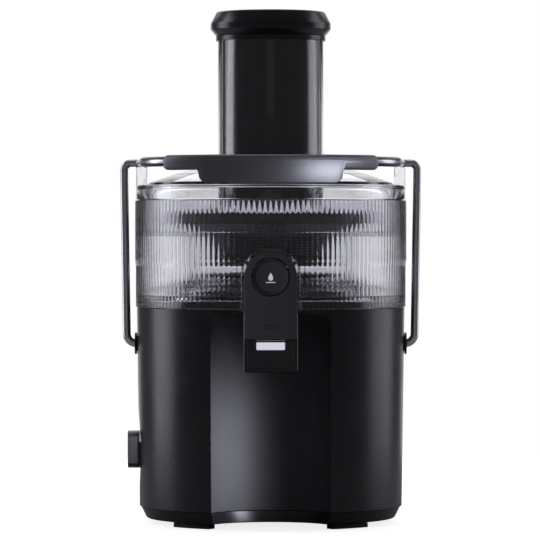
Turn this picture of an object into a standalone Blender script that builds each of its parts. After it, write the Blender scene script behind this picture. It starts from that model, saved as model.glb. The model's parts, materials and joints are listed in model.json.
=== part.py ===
"""Centrifugal juicer: motor base with a jug bay, clear bowl and lid, sieve basket, feed tube with its
pusher, swinging lock arm, spout with a drip stop, and a pulp bin at the back.

Lengths below are millimetres about the bowl's axis, with z = 0 on the table, -Y to the front and
-X to the side of the speed knob. Meshes are written in metres.
"""

import math

import bmesh
import bpy
from mathutils import Matrix, Vector

MM = 0.001
GAP = 0.3
EDGE = 1.0
PAST = 10.0  # how far a cutter runs past the wall that it cuts

# Turning steps: large shells, the feed tube's family, and small inner pieces.
FINE = 40
MEDIUM = 32
COARSE = 16
SIDE_ROLL_DEG = 4.0

# Motor base.
BASE_TOP_Z = 168.2
BASE_TOP_R = 105.0
SEAM_Z = 13.3
SEAM_R = 102.8
TRAY_FOOT_Z = 3.8
TRAY_FOOT_R = 97.7
TRAY_TOP_Z = 13.0
CASE_WALL = 3.0
DECK_R = 100.2
DECK_Z = 174.4
DOME_STEPS = ((74.0, 179.6), (65.0, 183.6), (51.0, 187.5))
SHAFT_HOLE_R = 13.5

# Jug bay in the front of the base.
BAY_R = 48.0
BAY_Y = -107.0
BAY_TOP_Z = 165.0
BAY_FILLET = 8.0

# Feet, and the screws and rubber mounts that carry the motor.
FOOT_INNER_R = 86.0
FOOT_OUTER_R = 95.0
FOOT_SPAN_DEG = 22.0
FOOT_CENTRES_DEG = {"front_right": -49.0, "front_left": -131.0, "rear_left": 139.0, "rear_right": 41.0}
MOUNT_RING_R = 47.0
MOUNT_CENTRES_DEG = (-20.0, 60.0, 120.0, 200.0)
MOUNT_R = 6.0
SCREW_SHANK_R = 1.7
SCREW_HEAD_R = 3.4

# Motor, on the bowl's axis. Each Z pair is a lower and an upper face.
SHAFT_R = 4.0
SHAFT_Z = (30.0, 182.0)
STATOR_R = 38.0
STATOR_BORE_R = 24.0
STATOR_Z = (72.0, 118.0)
ARMATURE_R = 23.0
ARMATURE_Z = (74.0, 116.0)
COMMUTATOR_R = 12.0
COMMUTATOR_Z = (50.0, 66.0)
LOWER_PLATE_R = 55.0
LOWER_PLATE_Z = (38.0, 41.0)
LOWER_BEARING_R = 9.0
UPPER_PLATE_R = 39.0
UPPER_PLATE_Z = (127.0, 130.0)
UPPER_BEARING_R = 11.0
FAN_R = 40.0
FAN_LOW_Z = 141.0
FAN_DISC_Z = 143.0
FAN_HUB_Z = 150.0
FAN_BLADES = 8
COUPLING_R = 11.0
COUPLING_NECK_R = 7.0

# Speed knob on the -X side.
KNOB_Z = 57.0
KNOB_R = 14.75
KNOB_FACE_X = -112.0
KNOB_BACK_X = -102.0
DISH_X = -101.0
DISH_R = 30.0
DISH_DEPTH = 2.4
PAD_R = 20.0
PAD_BACK_X = -97.6
PAD_THICK = 3.2
SPINDLE_R = 3.0

# Cord gland in the rear right of the base.
CORD_BEARING_DEG = 22.0
CORD_Z = 28.0
CORD_HOLE_R = 6.0

# Juice bowl.
BOWL_R = 106.5
BOWL_LOW_R = 105.9
BOWL_WALL = 2.6
BOWL_FOOT_Z = 168.6
BOWL_TOP_Z = 252.4
BOWL_FLOOR_Z = 175.2
CHIMNEY_R = 17.0
CHIMNEY_TOP_Z = 198.5

# Spout on the bowl's front.
SPOUT_CENTRE_Z = 193.6
COVER_HALF = 19.9
COVER_LOW_Z = 145.8
COVER_FACE_Y = -128.0
COVER_BACK_Y = -125.5
CHANNEL_HALF = 22.4
CHANNEL_WALL = 2.4
CHANNEL_LOW_Z = 166.8
BUTTON_R = 14.7
BUTTON_FACE_Y = -129.0
BUTTON_THICK = 4.0
BUTTON_BACK_Y = -112.0
STEM_R = 4.0
OUTLET_HALF = 12.0
NOZZLE_HALF = 20.6
NOZZLE_LOW_Z = 121.3
NOZZLE_TOP_Z = 166.5
NOZZLE_FRONT_Y = -121.4
NOZZLE_BACK_Y = -106.2
GATE_HALF = 11.0
GATE_LOW_Z = 138.0
GATE_TOP_Z = 158.0

# Lid, its ears and the hood over the pulp bin.
LID_R = 105.9
LID_LOW_Z = 252.8
LID_EDGE_Z = 264.0
LID_WALL = 2.4
SKIRT_R = 103.2
SKIRT_LOW_Z = 227.0
LID_HOLE_R = 41.9
LID_DOME = ((LID_HOLE_R, 286.0), (57.0, 278.2), (76.0, 272.8), (95.0, 266.2))
LID_FLANGE_R = 81.0
THROAT_HALF = 66.0
EAR_INNER_X = 96.8
EAR_OUTER_X = 105.4
EAR_TOP_Z = 278.0
EAR_LIP_Z = 282.5

# Feed tube and pusher.
TUBE_R = 41.4
TUBE_BORE_R = 38.4
TUBE_LOW_Z = 214.0
TUBE_TOP_Z = 381.0
TUBE_COLLAR_R = 43.0
TUBE_COLLAR_Z = 377.0
PUSHER_R = 37.9
PUSHER_WALL = 2.5
PUSHER_LOW_Z = 252.0
CAP_TOP_Z = 400.0
CAP_R = 47.1

# Sieve basket and what turns with it.
BASKET_LOW = (47.0, 206.0)
BASKET_HIGH = (69.0, 240.0)
RIM_R = 77.5
RIM_LOW_Z = 233.7
RIM_TOP_Z = 242.3
SIEVE_WALL = 1.2
SIEVE_LOW_Z = 203.6
GRATER_R = 43.6
HUB_R = 47.0
HUB_Z = (200.2, 203.2)
HUB_BOSS_R = 12.5
HUB_BOSS_Z = 188.6

# Lock arm: one rod each side and a grip across the front.
ARM_Z = 140.1
ROD_R = 3.15
ROD_FOOT_X = 112.8
ROD_HEAD_X = 115.2
ROD_END_X = 93.0
ROD_FOOT_BEND = 7.5
ROD_HEAD_BEND = 5.5
ROD_TOP_Z = 281.5
ROD_SIDE_X = 101.0
ROD_SIDE_BEND = 7.0
ROD_SIDE_END_Y = -26.0
ROD_IN_GRIP = 10.0
KNEE_REACH = 24.0
BUSH_R = 6.3
BUSH_X = 98.4
GRIP_INNER_R = 107.2
GRIP_OUTER_R = 116.0
GRIP_TOP_Z = 286.4
GRIP_END_Z = 274.4
GRIP_PLATE_Z = 264.7
GRIP_PLATE_HALF = 56.5
GRIP_END_HALF = 84.0
GRIP_SWEEP_HALF = 66.0
PANEL_THICK = 1.5
PANEL_TOP_Z = 282.2

# Pulp bin behind the base.
BIN_CENTRE_Y = 75.0
BIN_R = 98.0
BIN_FRONT_R = 108.5
BIN_HALF = 86.0
BIN_WALL = 2.0
BIN_TOP_Z = 226.0
HOOD_LOW_Z = 226.6
HOOD_R = 100.0

BACK_Y = BIN_CENTRE_Y + HOOD_R
AXIS_Y = -(BACK_Y + BUTTON_FACE_Y) / 2

COLOURS = {
    "black_satin": ((0.018, 0.019, 0.021), 0.38, 0.0),
    "clear_smoke": ((0.30, 0.32, 0.34), 0.08, 0.0),
    "steel": ((0.62, 0.63, 0.64), 0.22, 1.0),
    "rubber": ((0.02, 0.02, 0.02), 0.80, 0.0),
    "copper": ((0.62, 0.33, 0.18), 0.35, 1.0),
    "iron": ((0.30, 0.30, 0.31), 0.50, 1.0),
    "board": ((0.05, 0.22, 0.10), 0.50, 0.0),
    "grey_plastic": ((0.35, 0.35, 0.36), 0.55, 0.0),
}


def clear_scene():
    for old in list(bpy.data.objects):
        bpy.data.objects.remove(old, do_unlink=True)


def finish_material(name, finish):
    colour, roughness, metallic = COLOURS[finish]
    material = bpy.data.materials.new(name)
    material.use_nodes = True
    shader = material.node_tree.nodes["Principled BSDF"]
    shader.inputs["Base Color"].default_value = (*colour, 1.0)
    shader.inputs["Roughness"].default_value = roughness
    shader.inputs["Metallic"].default_value = metallic
    return material


def new_object(name, bm, finish=None):
    """Closes the bmesh into an object, scaled from millimetres to metres, with its faces pointing out."""
    bmesh.ops.remove_doubles(bm, verts=bm.verts, dist=1e-4)
    bmesh.ops.recalc_face_normals(bm, faces=bm.faces)
    bmesh.ops.scale(bm, vec=(MM, MM, MM), verts=bm.verts)
    mesh = bpy.data.meshes.new(name)
    bm.to_mesh(mesh)
    bm.free()
    mesh.shade_smooth()
    mesh.set_sharp_from_angle(angle=math.radians(30))
    piece = bpy.data.objects.new(name, mesh)
    bpy.context.scene.collection.objects.link(piece)
    piece.parent = bpy.data.objects.get("bowl_axis")
    if finish:
        mesh.materials.append(finish_material(name, finish))
    return piece


def new_axis(name, place):
    """An empty on a joint's axis, or the bowl's axis that all the others stand on."""
    stand = bpy.data.objects.get("bowl_axis")
    axis = bpy.data.objects.new(name, None)
    axis.location = Vector(place) * MM
    axis.parent = stand
    bpy.context.scene.collection.objects.link(axis)
    return axis


def on_axis(piece, axis):
    """Hangs a piece on a joint's empty without moving it: its mesh is shifted to the empty's place."""
    piece.data.transform(Matrix.Translation(-axis.location))
    piece.parent = axis
    return piece


def turned_mesh(profile, steps):
    """Spins a closed outline of (radius, height) points about Z. Sides on the axis close to a pole."""
    bm = bmesh.new()
    verts = [bm.verts.new((radius, 0.0, height)) for radius, height in profile]
    edges = []
    for a, b in zip(verts, verts[1:] + verts[:1]):
        if a.co.x > 0.0 or b.co.x > 0.0:
            edges.append(bm.edges.new((a, b)))
    bmesh.ops.spin(
        bm, geom=verts + edges, cent=(0, 0, 0), axis=(0, 0, 1), angle=math.tau, steps=steps
    )
    bmesh.ops.remove_doubles(bm, verts=bm.verts, dist=1e-3)
    return bm


def turned(name, profile, finish=None, steps=FINE, centre=(0.0, 0.0)):
    bm = turned_mesh(profile, steps)
    bmesh.ops.translate(bm, vec=(centre[0], centre[1], 0.0), verts=bm.verts)
    return new_object(name, bm, finish)


def turned_sideways(name, profile, finish, steps, centre, along):
    """A turned piece laid along a direction: the profile's height runs along it from the centre.
    The slight roll keeps its corners off the corners of the shells that it passes through."""
    bm = turned_mesh(profile, steps)
    roll = Matrix.Rotation(math.radians(SIDE_ROLL_DEG), 3, "Z")
    turn = Vector((0, 0, 1)).rotation_difference(Vector(along)).to_matrix() @ roll
    bmesh.ops.rotate(bm, cent=(0, 0, 0), matrix=turn, verts=bm.verts)
    bmesh.ops.translate(bm, vec=centre, verts=bm.verts)
    return new_object(name, bm, finish)


def ring(inner, outer, low, high):
    """The closed outline of a plain tube or washer."""
    return [(outer, high), (outer, low), (inner, low), (inner, high)]


def disc(radius, low, high):
    return [(0.0, high), (radius, high), (radius, low), (0.0, low)]


def prism(name, outline, low, high, finish=None, along="Z"):
    """Extrudes a closed outline. Along Z it lies in XY; along Y in XZ; along X in YZ."""
    place = {
        "Z": lambda u, v, w: (u, v, w),
        "Y": lambda u, v, w: (u, w, v),
        "X": lambda u, v, w: (w, u, v),
    }[along]
    bm = bmesh.new()
    face = bm.faces.new([bm.verts.new(place(u, v, low)) for u, v in outline])
    grown = bmesh.ops.extrude_face_region(bm, geom=[face])["geom"]
    shift = Vector(place(0.0, 0.0, high - low))
    bmesh.ops.translate(bm, vec=shift, verts=[g for g in grown if isinstance(g, bmesh.types.BMVert)])
    return new_object(name, bm, finish)


def block(name, low, high, finish=None):
    outline = [(low[0], low[1]), (high[0], low[1]), (high[0], high[1]), (low[0], high[1])]
    return prism(name, outline, low[2], high[2], finish)


def arc(radius, start_deg, end_deg, steps, centre=(0.0, 0.0)):
    points = []
    for i in range(steps + 1):
        angle = math.radians(start_deg + (end_deg - start_deg) * i / steps)
        points.append((centre[0] + radius * math.cos(angle), centre[1] + radius * math.sin(angle)))
    return points


def combine(piece, other, operation):
    """Adds a Boolean with another object, which becomes a guide that isn't part of the juicer.
    The exact solver loses faces where the knob's dish meets the side wall at a shallow angle."""
    other.hide_render = True
    other.display_type = "WIRE"
    modifier = piece.modifiers.new(f"{operation.lower()}_{other.name}"[:60], "BOOLEAN")
    modifier.operation = operation
    modifier.solver = "MANIFOLD" if piece.name == "motor_housing" else "EXACT"
    modifier.object = other
    return piece


def cut(piece, *cutters):
    for cutter in cutters:
        combine(piece, cutter, "DIFFERENCE")
    return piece


def join(piece, *others):
    for other in others:
        combine(piece, other, "UNION")
    return piece


def bay_form(name, grow, finish=None):
    """The jug bay as a solid: a drum with a rounded top edge, grown outwards by the wall."""
    radius = BAY_R + grow
    top = BAY_TOP_Z + grow
    shoulder = [
        (radius - BAY_FILLET * (1 - math.sin(angle)), top - BAY_FILLET * (1 - math.cos(angle)))
        for angle in (0.0, math.pi / 6, math.pi / 3, math.pi / 2)
    ]
    profile = [(0.0, top), *shoulder, (radius, -PAST), (0.0, -PAST)]
    return turned(name, profile, finish, steps=MEDIUM, centre=(0.0, BAY_Y))


def shell_with_bay(name, outer, inner, finish):
    """A turned case with a wall all round, also round the jug bay cut into its front."""
    hollow = turned(f"{name}_hollow", inner)
    cut(hollow, bay_form(f"{name}_bay_wall", CASE_WALL))
    return cut(turned(name, outer, finish), bay_form(f"{name}_bay", 0.0), hollow)


def stepped_dome(grow_r, grow_z):
    """The three steps of the base's dome as an outline from the deck inwards, grown by an offset."""
    points = []
    level = DECK_Z
    for radius, height in DOME_STEPS:
        points += [(radius + grow_r, level + grow_z), (radius + grow_r, height + grow_z)]
        level = height
    return points


def housing_outline():
    dome = stepped_dome(0.0, 0.0)
    return [
        (0.0, DOME_STEPS[-1][1]),
        *reversed(dome),
        (DECK_R, DECK_Z),
        (DECK_R, BASE_TOP_Z),
        (BASE_TOP_R - EDGE, BASE_TOP_Z),
        (BASE_TOP_R, BASE_TOP_Z - EDGE),
        (SEAM_R, SEAM_Z),
        (0.0, SEAM_Z),
    ]


def make_housing():
    under = stepped_dome(-CASE_WALL, -CASE_WALL)
    inner = [
        (0.0, DOME_STEPS[-1][1] + CASE_WALL),
        (SHAFT_HOLE_R, DOME_STEPS[-1][1] + CASE_WALL),
        (SHAFT_HOLE_R, DOME_STEPS[-1][1] - CASE_WALL),
        *reversed(under),
        (DECK_R - CASE_WALL, DECK_Z - CASE_WALL),
        (DECK_R - CASE_WALL, BASE_TOP_Z - CASE_WALL),
        (BASE_TOP_R - CASE_WALL, BASE_TOP_Z - CASE_WALL - EDGE),
        (SEAM_R - CASE_WALL, SEAM_Z - PAST),
        (0.0, SEAM_Z - PAST),
    ]
    housing = turned("motor_housing", housing_outline(), "black_satin")
    cut(housing, turned("housing_hollow", inner), bay_form("bay_wall_seat", CASE_WALL + GAP))
    pad = disc(PAD_R, 0.0, PAD_THICK)
    join(housing, turned_sideways("knob_pad", pad, None, MEDIUM, (PAD_BACK_X, 0.0, KNOB_Z), (-1, 0, 0)))
    cut(housing, knob_dish(), knob_hole(), *[arm_hole(side) for side in (-1, 1)], cord_hole())
    return housing


def make_bay_wall():
    """The curved wall round the jug, a moulding of its own let into the front of the housing."""
    wall = bay_form("jug_bay_wall", CASE_WALL, "black_satin")
    combine(wall, turned("housing_form", housing_outline()), "INTERSECT")
    return cut(wall, bay_form("bay_room", 0.0))


def knob_dish():
    """A shallow round dish in the side wall: its floor is a paraboloid that is deepest at the knob."""
    curve = DISH_DEPTH / DISH_R**2
    reach = 1.27 * DISH_R
    stations = [reach * i / 5 for i in range(6)]
    profile = [(r, curve * r * r) for r in stations] + [(reach, 2 * PAST), (0.0, 2 * PAST)]
    return turned_sideways("knob_dish", profile, None, MEDIUM, (DISH_X, 0.0, KNOB_Z), (-1, 0, 0))


def knob_hole():
    bore = disc(SPINDLE_R + 0.5, 0.0, 3 * PAST)
    return turned_sideways("knob_hole", bore, None, COARSE, (DISH_X + PAST, 0.0, KNOB_Z), (-1, 0, 0))


def arm_hole(side):
    bore = disc(BUSH_R + GAP, 0.0, 2 * PAST)
    place = (side * (SEAM_R - PAST + 2.0), 0.0, ARM_Z)
    return turned_sideways(f"arm_hole_{side + 1}", bore, None, COARSE, place, (side, 0, 0))


def cord_line(radius):
    """A point on the cord gland's line, and the direction in which the line leaves the base."""
    bearing = math.radians(CORD_BEARING_DEG)
    along = Vector((math.cos(bearing), math.sin(bearing), 0.0))
    return along * radius + Vector((0.0, 0.0, CORD_Z)), along


def cord_hole():
    start, along = cord_line(SEAM_R - PAST)
    return turned_sideways("cord_hole", disc(CORD_HOLE_R, 0.0, 2 * PAST), None, COARSE, start, along)


def make_cord_inlet():
    """A short rubber gland in the rear right of the base, open through its middle."""
    start, along = cord_line(97.0)
    neck = CORD_HOLE_R - 0.4
    profile = [(3.6, 0.0), (neck, 0.0), (neck, 6.6), (8.0, 6.6), (6.6, 12.0), (3.6, 12.0)]
    turned_sideways("cord_inlet", profile, "rubber", COARSE, start, along)


def make_base_tray():
    outer = [
        (0.0, TRAY_TOP_Z),
        (SEAM_R - EDGE, TRAY_TOP_Z),
        (TRAY_FOOT_R, TRAY_FOOT_Z + EDGE),
        (TRAY_FOOT_R - EDGE, TRAY_FOOT_Z),
        (0.0, TRAY_FOOT_Z),
    ]
    floor_z = TRAY_FOOT_Z + CASE_WALL
    inner = [
        (0.0, TRAY_TOP_Z + PAST / 2),
        (SEAM_R - CASE_WALL - 2.0, TRAY_TOP_Z + PAST / 2),
        (TRAY_FOOT_R - CASE_WALL - 0.5, floor_z),
        (0.0, floor_z),
    ]
    tray = shell_with_bay("base_tray", outer, inner, "black_satin")
    for i, place in enumerate(mount_places()):
        cut(tray, turned(f"screw_hole_{i}", disc(SCREW_HEAD_R + GAP, 0.0, PAST), steps=COARSE, centre=place))


def mount_places():
    return [
        (MOUNT_RING_R * math.cos(math.radians(a)), MOUNT_RING_R * math.sin(math.radians(a)))
        for a in MOUNT_CENTRES_DEG
    ]


def make_feet():
    for name, centre in FOOT_CENTRES_DEG.items():
        half = FOOT_SPAN_DEG / 2
        outline = arc(FOOT_OUTER_R, centre - half, centre + half, 5)
        outline += arc(FOOT_INNER_R, centre + half, centre - half, 5)
        prism(f"{name}_foot", outline, 0.0, TRAY_FOOT_Z - GAP, "rubber")


def make_motor():
    for i, place in enumerate(mount_places()):
        head = TRAY_FOOT_Z + 0.4
        screw = [
            (0.0, 22.0), (SCREW_SHANK_R, 22.0), (SCREW_SHANK_R, head + 2.2),
            (SCREW_HEAD_R, head + 2.2), (SCREW_HEAD_R, head), (0.0, head),
        ]
        turned(f"base_screw_{i + 1}", screw, "steel", 12, place)
        sleeve = ring(SCREW_SHANK_R + GAP, MOUNT_R, 7.1, 37.7)
        turned(f"motor_mount_{i + 1}", sleeve, "rubber", 12, place)
    turned("motor_stator", ring(STATOR_BORE_R, STATOR_R, *STATOR_Z), "iron", 24)
    for level, plate_r, bearing_r, (low, high) in (
        ("lower", LOWER_PLATE_R, LOWER_BEARING_R, LOWER_PLATE_Z),
        ("upper", UPPER_PLATE_R, UPPER_BEARING_R, UPPER_PLATE_Z),
    ):
        turned(f"motor_{level}_plate", ring(bearing_r + 0.4, plate_r, low, high), "iron", 24)
        turned(f"{level}_bearing", ring(SHAFT_R + GAP, bearing_r, low - 2.0, high + 2.0), "steel", COARSE)
    for side, word in ((-1, "left"), (1, "right")):
        inner, outer = sorted((side * 13.0, side * 32.0))
        block(f"brush_holder_{word}", (inner, -5.0, 54.0), (outer, 5.0, 63.0), "copper")
    turned("shaft_seal", ring(11.5, SHAFT_HOLE_R - GAP, 184.8, 187.3), "rubber", 24)
    block("control_board", (72.0, -30.0, 30.0), (74.0, 30.0, 90.0), "board")
    block("speed_switch", (-93.0, -12.0, KNOB_Z - 12.0), (-76.0, 12.0, KNOB_Z + 12.0), "grey_plastic")
    block("interlock_switch", (76.0, -7.0, ARM_Z - 9.0), (91.0, 7.0, ARM_Z + 9.0), "grey_plastic")


def make_rotor():
    """What the motor turns: rotor, fan, couplings, basket and grater, on the basket's own axis."""
    axis = new_axis("spin_axis", (0.0, 0.0, BASKET_LOW[1]))
    bore = SHAFT_R + GAP
    pieces = [
        turned("motor_shaft", disc(SHAFT_R, *SHAFT_Z), "steel", 12),
        turned("armature", ring(bore, ARMATURE_R, *ARMATURE_Z), "copper", COARSE),
        turned("commutator", ring(bore, COMMUTATOR_R, *COMMUTATOR_Z), "copper", COARSE),
        make_fan(bore),
        turned("drive_coupling", coupling_outline(bore), "grey_plastic", COARSE),
        turned("basket_hub", hub_outline(), "black_satin", MEDIUM),
        turned("grater_disc", grater_outline(), "steel", MEDIUM),
        turned("filter_basket", basket_outline(), "steel", FINE),
        turned("basket_rim", rim_outline(), "black_satin", FINE),
    ]
    for piece in pieces:
        on_axis(piece, axis)


def coupling_outline(bore):
    """A cup on the shaft's end with a neck that goes up into the basket's hub."""
    shoulder = HUB_BOSS_Z - 0.4
    neck_top = HUB_Z[0] - 3.2
    shaft_top = SHAFT_Z[1] + 1.0
    return [
        (0.0, neck_top), (COUPLING_NECK_R, neck_top), (COUPLING_NECK_R, shoulder), (COUPLING_R, shoulder),
        (COUPLING_R, 170.0), (bore, 170.0), (bore, shaft_top), (0.0, shaft_top),
    ]


def hub_outline():
    low, high = HUB_Z
    socket = COUPLING_NECK_R + 0.4
    return [
        (0.0, high), (HUB_R, high), (HUB_R, low), (HUB_BOSS_R, low), (HUB_BOSS_R, HUB_BOSS_Z),
        (socket, HUB_BOSS_Z), (socket, low - 2.8), (0.0, low - 2.8),
    ]


def grater_outline():
    """A disc that rises a little to a flat middle."""
    return [
        (0.0, SIEVE_LOW_Z + 3.2), (8.0, SIEVE_LOW_Z + 3.2), (GRATER_R, SIEVE_LOW_Z + 1.8),
        (GRATER_R, SIEVE_LOW_Z), (0.0, SIEVE_LOW_Z),
    ]


def make_fan(bore):
    """A disc with upright blades, joined into one body."""
    profile = [
        (bore, FAN_HUB_Z), (9.0, FAN_HUB_Z), (12.0, FAN_DISC_Z), (FAN_R, FAN_DISC_Z), (FAN_R, FAN_LOW_Z),
        (bore, FAN_LOW_Z),
    ]
    fan = turned("cooling_fan", profile, "grey_plastic", 24)
    for i in range(FAN_BLADES):
        bm = bmesh.new()
        bmesh.ops.create_cube(bm, size=1.0)
        bmesh.ops.scale(bm, vec=(28.0, 1.6, 9.0), verts=bm.verts)
        bmesh.ops.translate(bm, vec=(FAN_R - 15.0, 0.0, FAN_DISC_Z + 3.5), verts=bm.verts)
        turn = Matrix.Rotation(math.tau * (i + 0.3) / FAN_BLADES, 3, "Z")
        bmesh.ops.rotate(bm, cent=(0, 0, 0), matrix=turn, verts=bm.verts)
        join(fan, new_object(f"fan_blade_{i}", bm))
    return fan


def cone_radius(z):
    (low_r, low_z), (high_r, high_z) = BASKET_LOW, BASKET_HIGH
    return low_r + (high_r - low_r) * (z - low_z) / (high_z - low_z)


def basket_outline():
    high_z = RIM_LOW_Z + 4.0
    return [
        (cone_radius(high_z), high_z),
        (cone_radius(SIEVE_LOW_Z), SIEVE_LOW_Z),
        (cone_radius(SIEVE_LOW_Z) - SIEVE_WALL, SIEVE_LOW_Z),
        (cone_radius(high_z) - SIEVE_WALL, high_z),
    ]


def rim_outline():
    inside = cone_radius(RIM_LOW_Z) + GAP + 0.2
    top_inside = cone_radius(RIM_LOW_Z + 4.5) + GAP
    return [
        (RIM_R, RIM_TOP_Z),
        (RIM_R, RIM_LOW_Z),
        (inside, RIM_LOW_Z),
        (top_inside + 0.2, RIM_LOW_Z + 4.5),
        (top_inside - 1.5, RIM_LOW_Z + 4.5),
        (top_inside + 1.0, RIM_TOP_Z),
    ]


def make_knob():
    axis = new_axis("knob_axis", (KNOB_BACK_X, 0.0, KNOB_Z))
    thick = KNOB_BACK_X - KNOB_FACE_X
    socket = SPINDLE_R + 0.4
    profile = [
        (0.0, thick), (KNOB_R - 2.0, thick), (KNOB_R, thick - 2.0), (KNOB_R, 0.0), (socket, 0.0), (socket, 5.0),
        (0.0, 5.0),
    ]
    dial = turned_sideways("speed_knob", profile, "black_satin", MEDIUM, (KNOB_BACK_X, 0, KNOB_Z), (-1, 0, 0))
    stem = disc(SPINDLE_R, 0.0, 13.0)
    spindle = turned_sideways("knob_spindle", stem, "steel", 12, (KNOB_BACK_X + 8.4, 0, KNOB_Z), (-1, 0, 0))
    on_axis(dial, axis)
    on_axis(spindle, axis)


def make_bowl():
    under = stepped_dome(1.2, 0.8)
    above = stepped_dome(1.2 + BOWL_WALL, 0.8 + BOWL_WALL)
    inner_r = BOWL_R - BOWL_WALL
    floor_top = BOWL_FLOOR_Z + BOWL_WALL
    profile = [
        (BOWL_R, BOWL_TOP_Z),
        (BOWL_R, 205.0),
        (BOWL_LOW_R, 200.0),
        (BOWL_LOW_R, BOWL_FOOT_Z),
        (BOWL_LOW_R - BOWL_WALL, BOWL_FOOT_Z),
        (BOWL_LOW_R - BOWL_WALL, BOWL_FLOOR_Z),
        *under,
        (CHIMNEY_R, under[-1][1]),
        (CHIMNEY_R, CHIMNEY_TOP_Z),
        (CHIMNEY_R + BOWL_WALL, CHIMNEY_TOP_Z),
        (CHIMNEY_R + BOWL_WALL, above[-1][1]),
        *reversed(above),
        (inner_r, floor_top),
        (inner_r, BOWL_TOP_Z),
    ]
    bowl = turned("juice_bowl", profile, "clear_smoke")
    outlet_low = (-OUTLET_HALF, -BOWL_R - PAST, floor_top + 1.0)
    outlet = block("bowl_outlet", outlet_low, (OUTLET_HALF, -BOWL_R + PAST, CHIMNEY_TOP_Z - 0.5))
    cut(bowl, outlet)


def arch(half, low, steps=14):
    """A door-shaped outline in XZ: straight sides and a round top about the spout's centre."""
    return [(-half, low), (half, low), *arc(half, 0.0, 180.0, steps, (0.0, SPOUT_CENTRE_Z))]


def make_spout():
    outside = arch(CHANNEL_HALF, CHANNEL_LOW_Z)
    inside = arch(CHANNEL_HALF - CHANNEL_WALL, CHANNEL_LOW_Z + CHANNEL_WALL)
    back_y = -BOWL_R + PAST
    channel = prism("spout_channel", outside, COVER_BACK_Y + GAP, back_y, "clear_smoke", "Y")
    hollow = prism("channel_hollow", inside, COVER_BACK_Y - PAST, back_y + PAST, None, "Y")
    bowl_side = turned("channel_bowl_side", disc(BOWL_R + 2 * GAP, CHANNEL_LOW_Z - PAST, BOWL_TOP_Z))
    drop = passage("channel_drop", CHANNEL_LOW_Z - PAST, CHANNEL_LOW_Z + CHANNEL_WALL + 1.0)
    cut(channel, hollow, bowl_side, drop)
    cover = prism("spout_cover", arch(COVER_HALF, COVER_LOW_Z), COVER_FACE_Y, COVER_BACK_Y, "black_satin", "Y")
    window = disc(BUTTON_R + 0.8, -PAST, PAST)
    place = (0.0, COVER_FACE_Y, SPOUT_CENTRE_Z)
    cut(cover, turned_sideways("button_window", window, None, MEDIUM, place, (0, -1, 0)))
    low = (-NOZZLE_HALF, NOZZLE_FRONT_Y, NOZZLE_LOW_Z)
    nozzle = block("nozzle", low, (NOZZLE_HALF, NOZZLE_BACK_Y, NOZZLE_TOP_Z), "black_satin")
    cut(nozzle, passage("nozzle_passage", NOZZLE_LOW_Z - PAST, NOZZLE_TOP_Z + PAST))


def passage(name, low_z, high_z):
    """The juice's way down, as a cutter."""
    inset = 2.6
    low = (-OUTLET_HALF, NOZZLE_FRONT_Y + inset, low_z)
    return block(name, low, (OUTLET_HALF, NOZZLE_BACK_Y - inset, high_z))


def make_drip_stop():
    button_axis = new_axis("button_axis", (0.0, BUTTON_FACE_Y, SPOUT_CENTRE_Z))
    deep = BUTTON_FACE_Y - BUTTON_BACK_Y
    profile = [
        (0.0, 0.0), (BUTTON_R - EDGE, 0.0), (BUTTON_R, -EDGE), (BUTTON_R, -BUTTON_THICK), (STEM_R, -BUTTON_THICK),
        (STEM_R, deep), (0.0, deep),
    ]
    place = (0.0, BUTTON_FACE_Y, SPOUT_CENTRE_Z)
    button = turned_sideways("drip_stop_button", profile, "black_satin", MEDIUM, place, (0, -1, 0))
    on_axis(button, button_axis)
    gate_axis = new_axis("gate_axis", (0.0, NOZZLE_FRONT_Y, GATE_LOW_Z))
    gate = block(
        "drip_stop_gate",
        (-GATE_HALF, NOZZLE_FRONT_Y - GAP - 1.4, GATE_LOW_Z),
        (GATE_HALF, NOZZLE_FRONT_Y - GAP, GATE_TOP_Z),
        "steel",
    )
    on_axis(gate, gate_axis)


def make_button_spring():
    """Three and a half turns of wire round the button's stem."""
    turns = 3.5
    per_turn = 10
    start_y = BUTTON_FACE_Y + BUTTON_THICK + 1.0
    length = 14.5
    coil_r = STEM_R + 2.5
    points = []
    for i in range(int(turns * per_turn) + 1):
        angle = math.tau * i / per_turn
        along = start_y + length * i / (turns * per_turn)
        up = SPOUT_CENTRE_Z + coil_r * math.sin(angle)
        points.append(Vector((coil_r * math.cos(angle), along, up)))
    new_object("button_spring", tube_mesh(points, 0.6, 5), "steel")


def tube_mesh(points, radius, sides):
    """A round rod along a path. Each ring keeps the turn of the one before, so the rod doesn't twist."""
    bm = bmesh.new()
    tangents = []
    for i in range(len(points)):
        before = points[max(i - 1, 0)]
        after = points[min(i + 1, len(points) - 1)]
        tangents.append((after - before).normalized())
    side = tangents[0].cross(Vector((0.0, 0.3, 1.0))).normalized()
    rings = []
    for i, point in enumerate(points):
        if i:
            side = tangents[i - 1].rotation_difference(tangents[i]) @ side
        other = tangents[i].cross(side)
        loop = []
        for k in range(sides):
            angle = math.tau * k / sides
            loop.append(bm.verts.new(point + radius * (side * math.cos(angle) + other * math.sin(angle))))
        rings.append(loop)
    for a, b in zip(rings, rings[1:]):
        for k in range(sides):
            bm.faces.new((a[k], a[(k + 1) % sides], b[(k + 1) % sides], b[k]))
    bm.faces.new(rings[0])
    bm.faces.new(rings[-1])
    return bm


def bend(corner, before, after, radius, steps=4):
    """Points of a round bend at a corner between two straight runs."""
    into = (corner - before).normalized()
    out = (after - corner).normalized()
    turn = into.angle(out)
    reach = radius * math.tan(turn / 2)
    start = corner - into * reach
    inward = (out - into * into.dot(out)).normalized()
    centre = start + inward * radius
    return [
        centre - inward * radius * math.cos(turn * i / steps) + into * radius * math.sin(turn * i / steps)
        for i in range(steps + 1)
    ]


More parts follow.
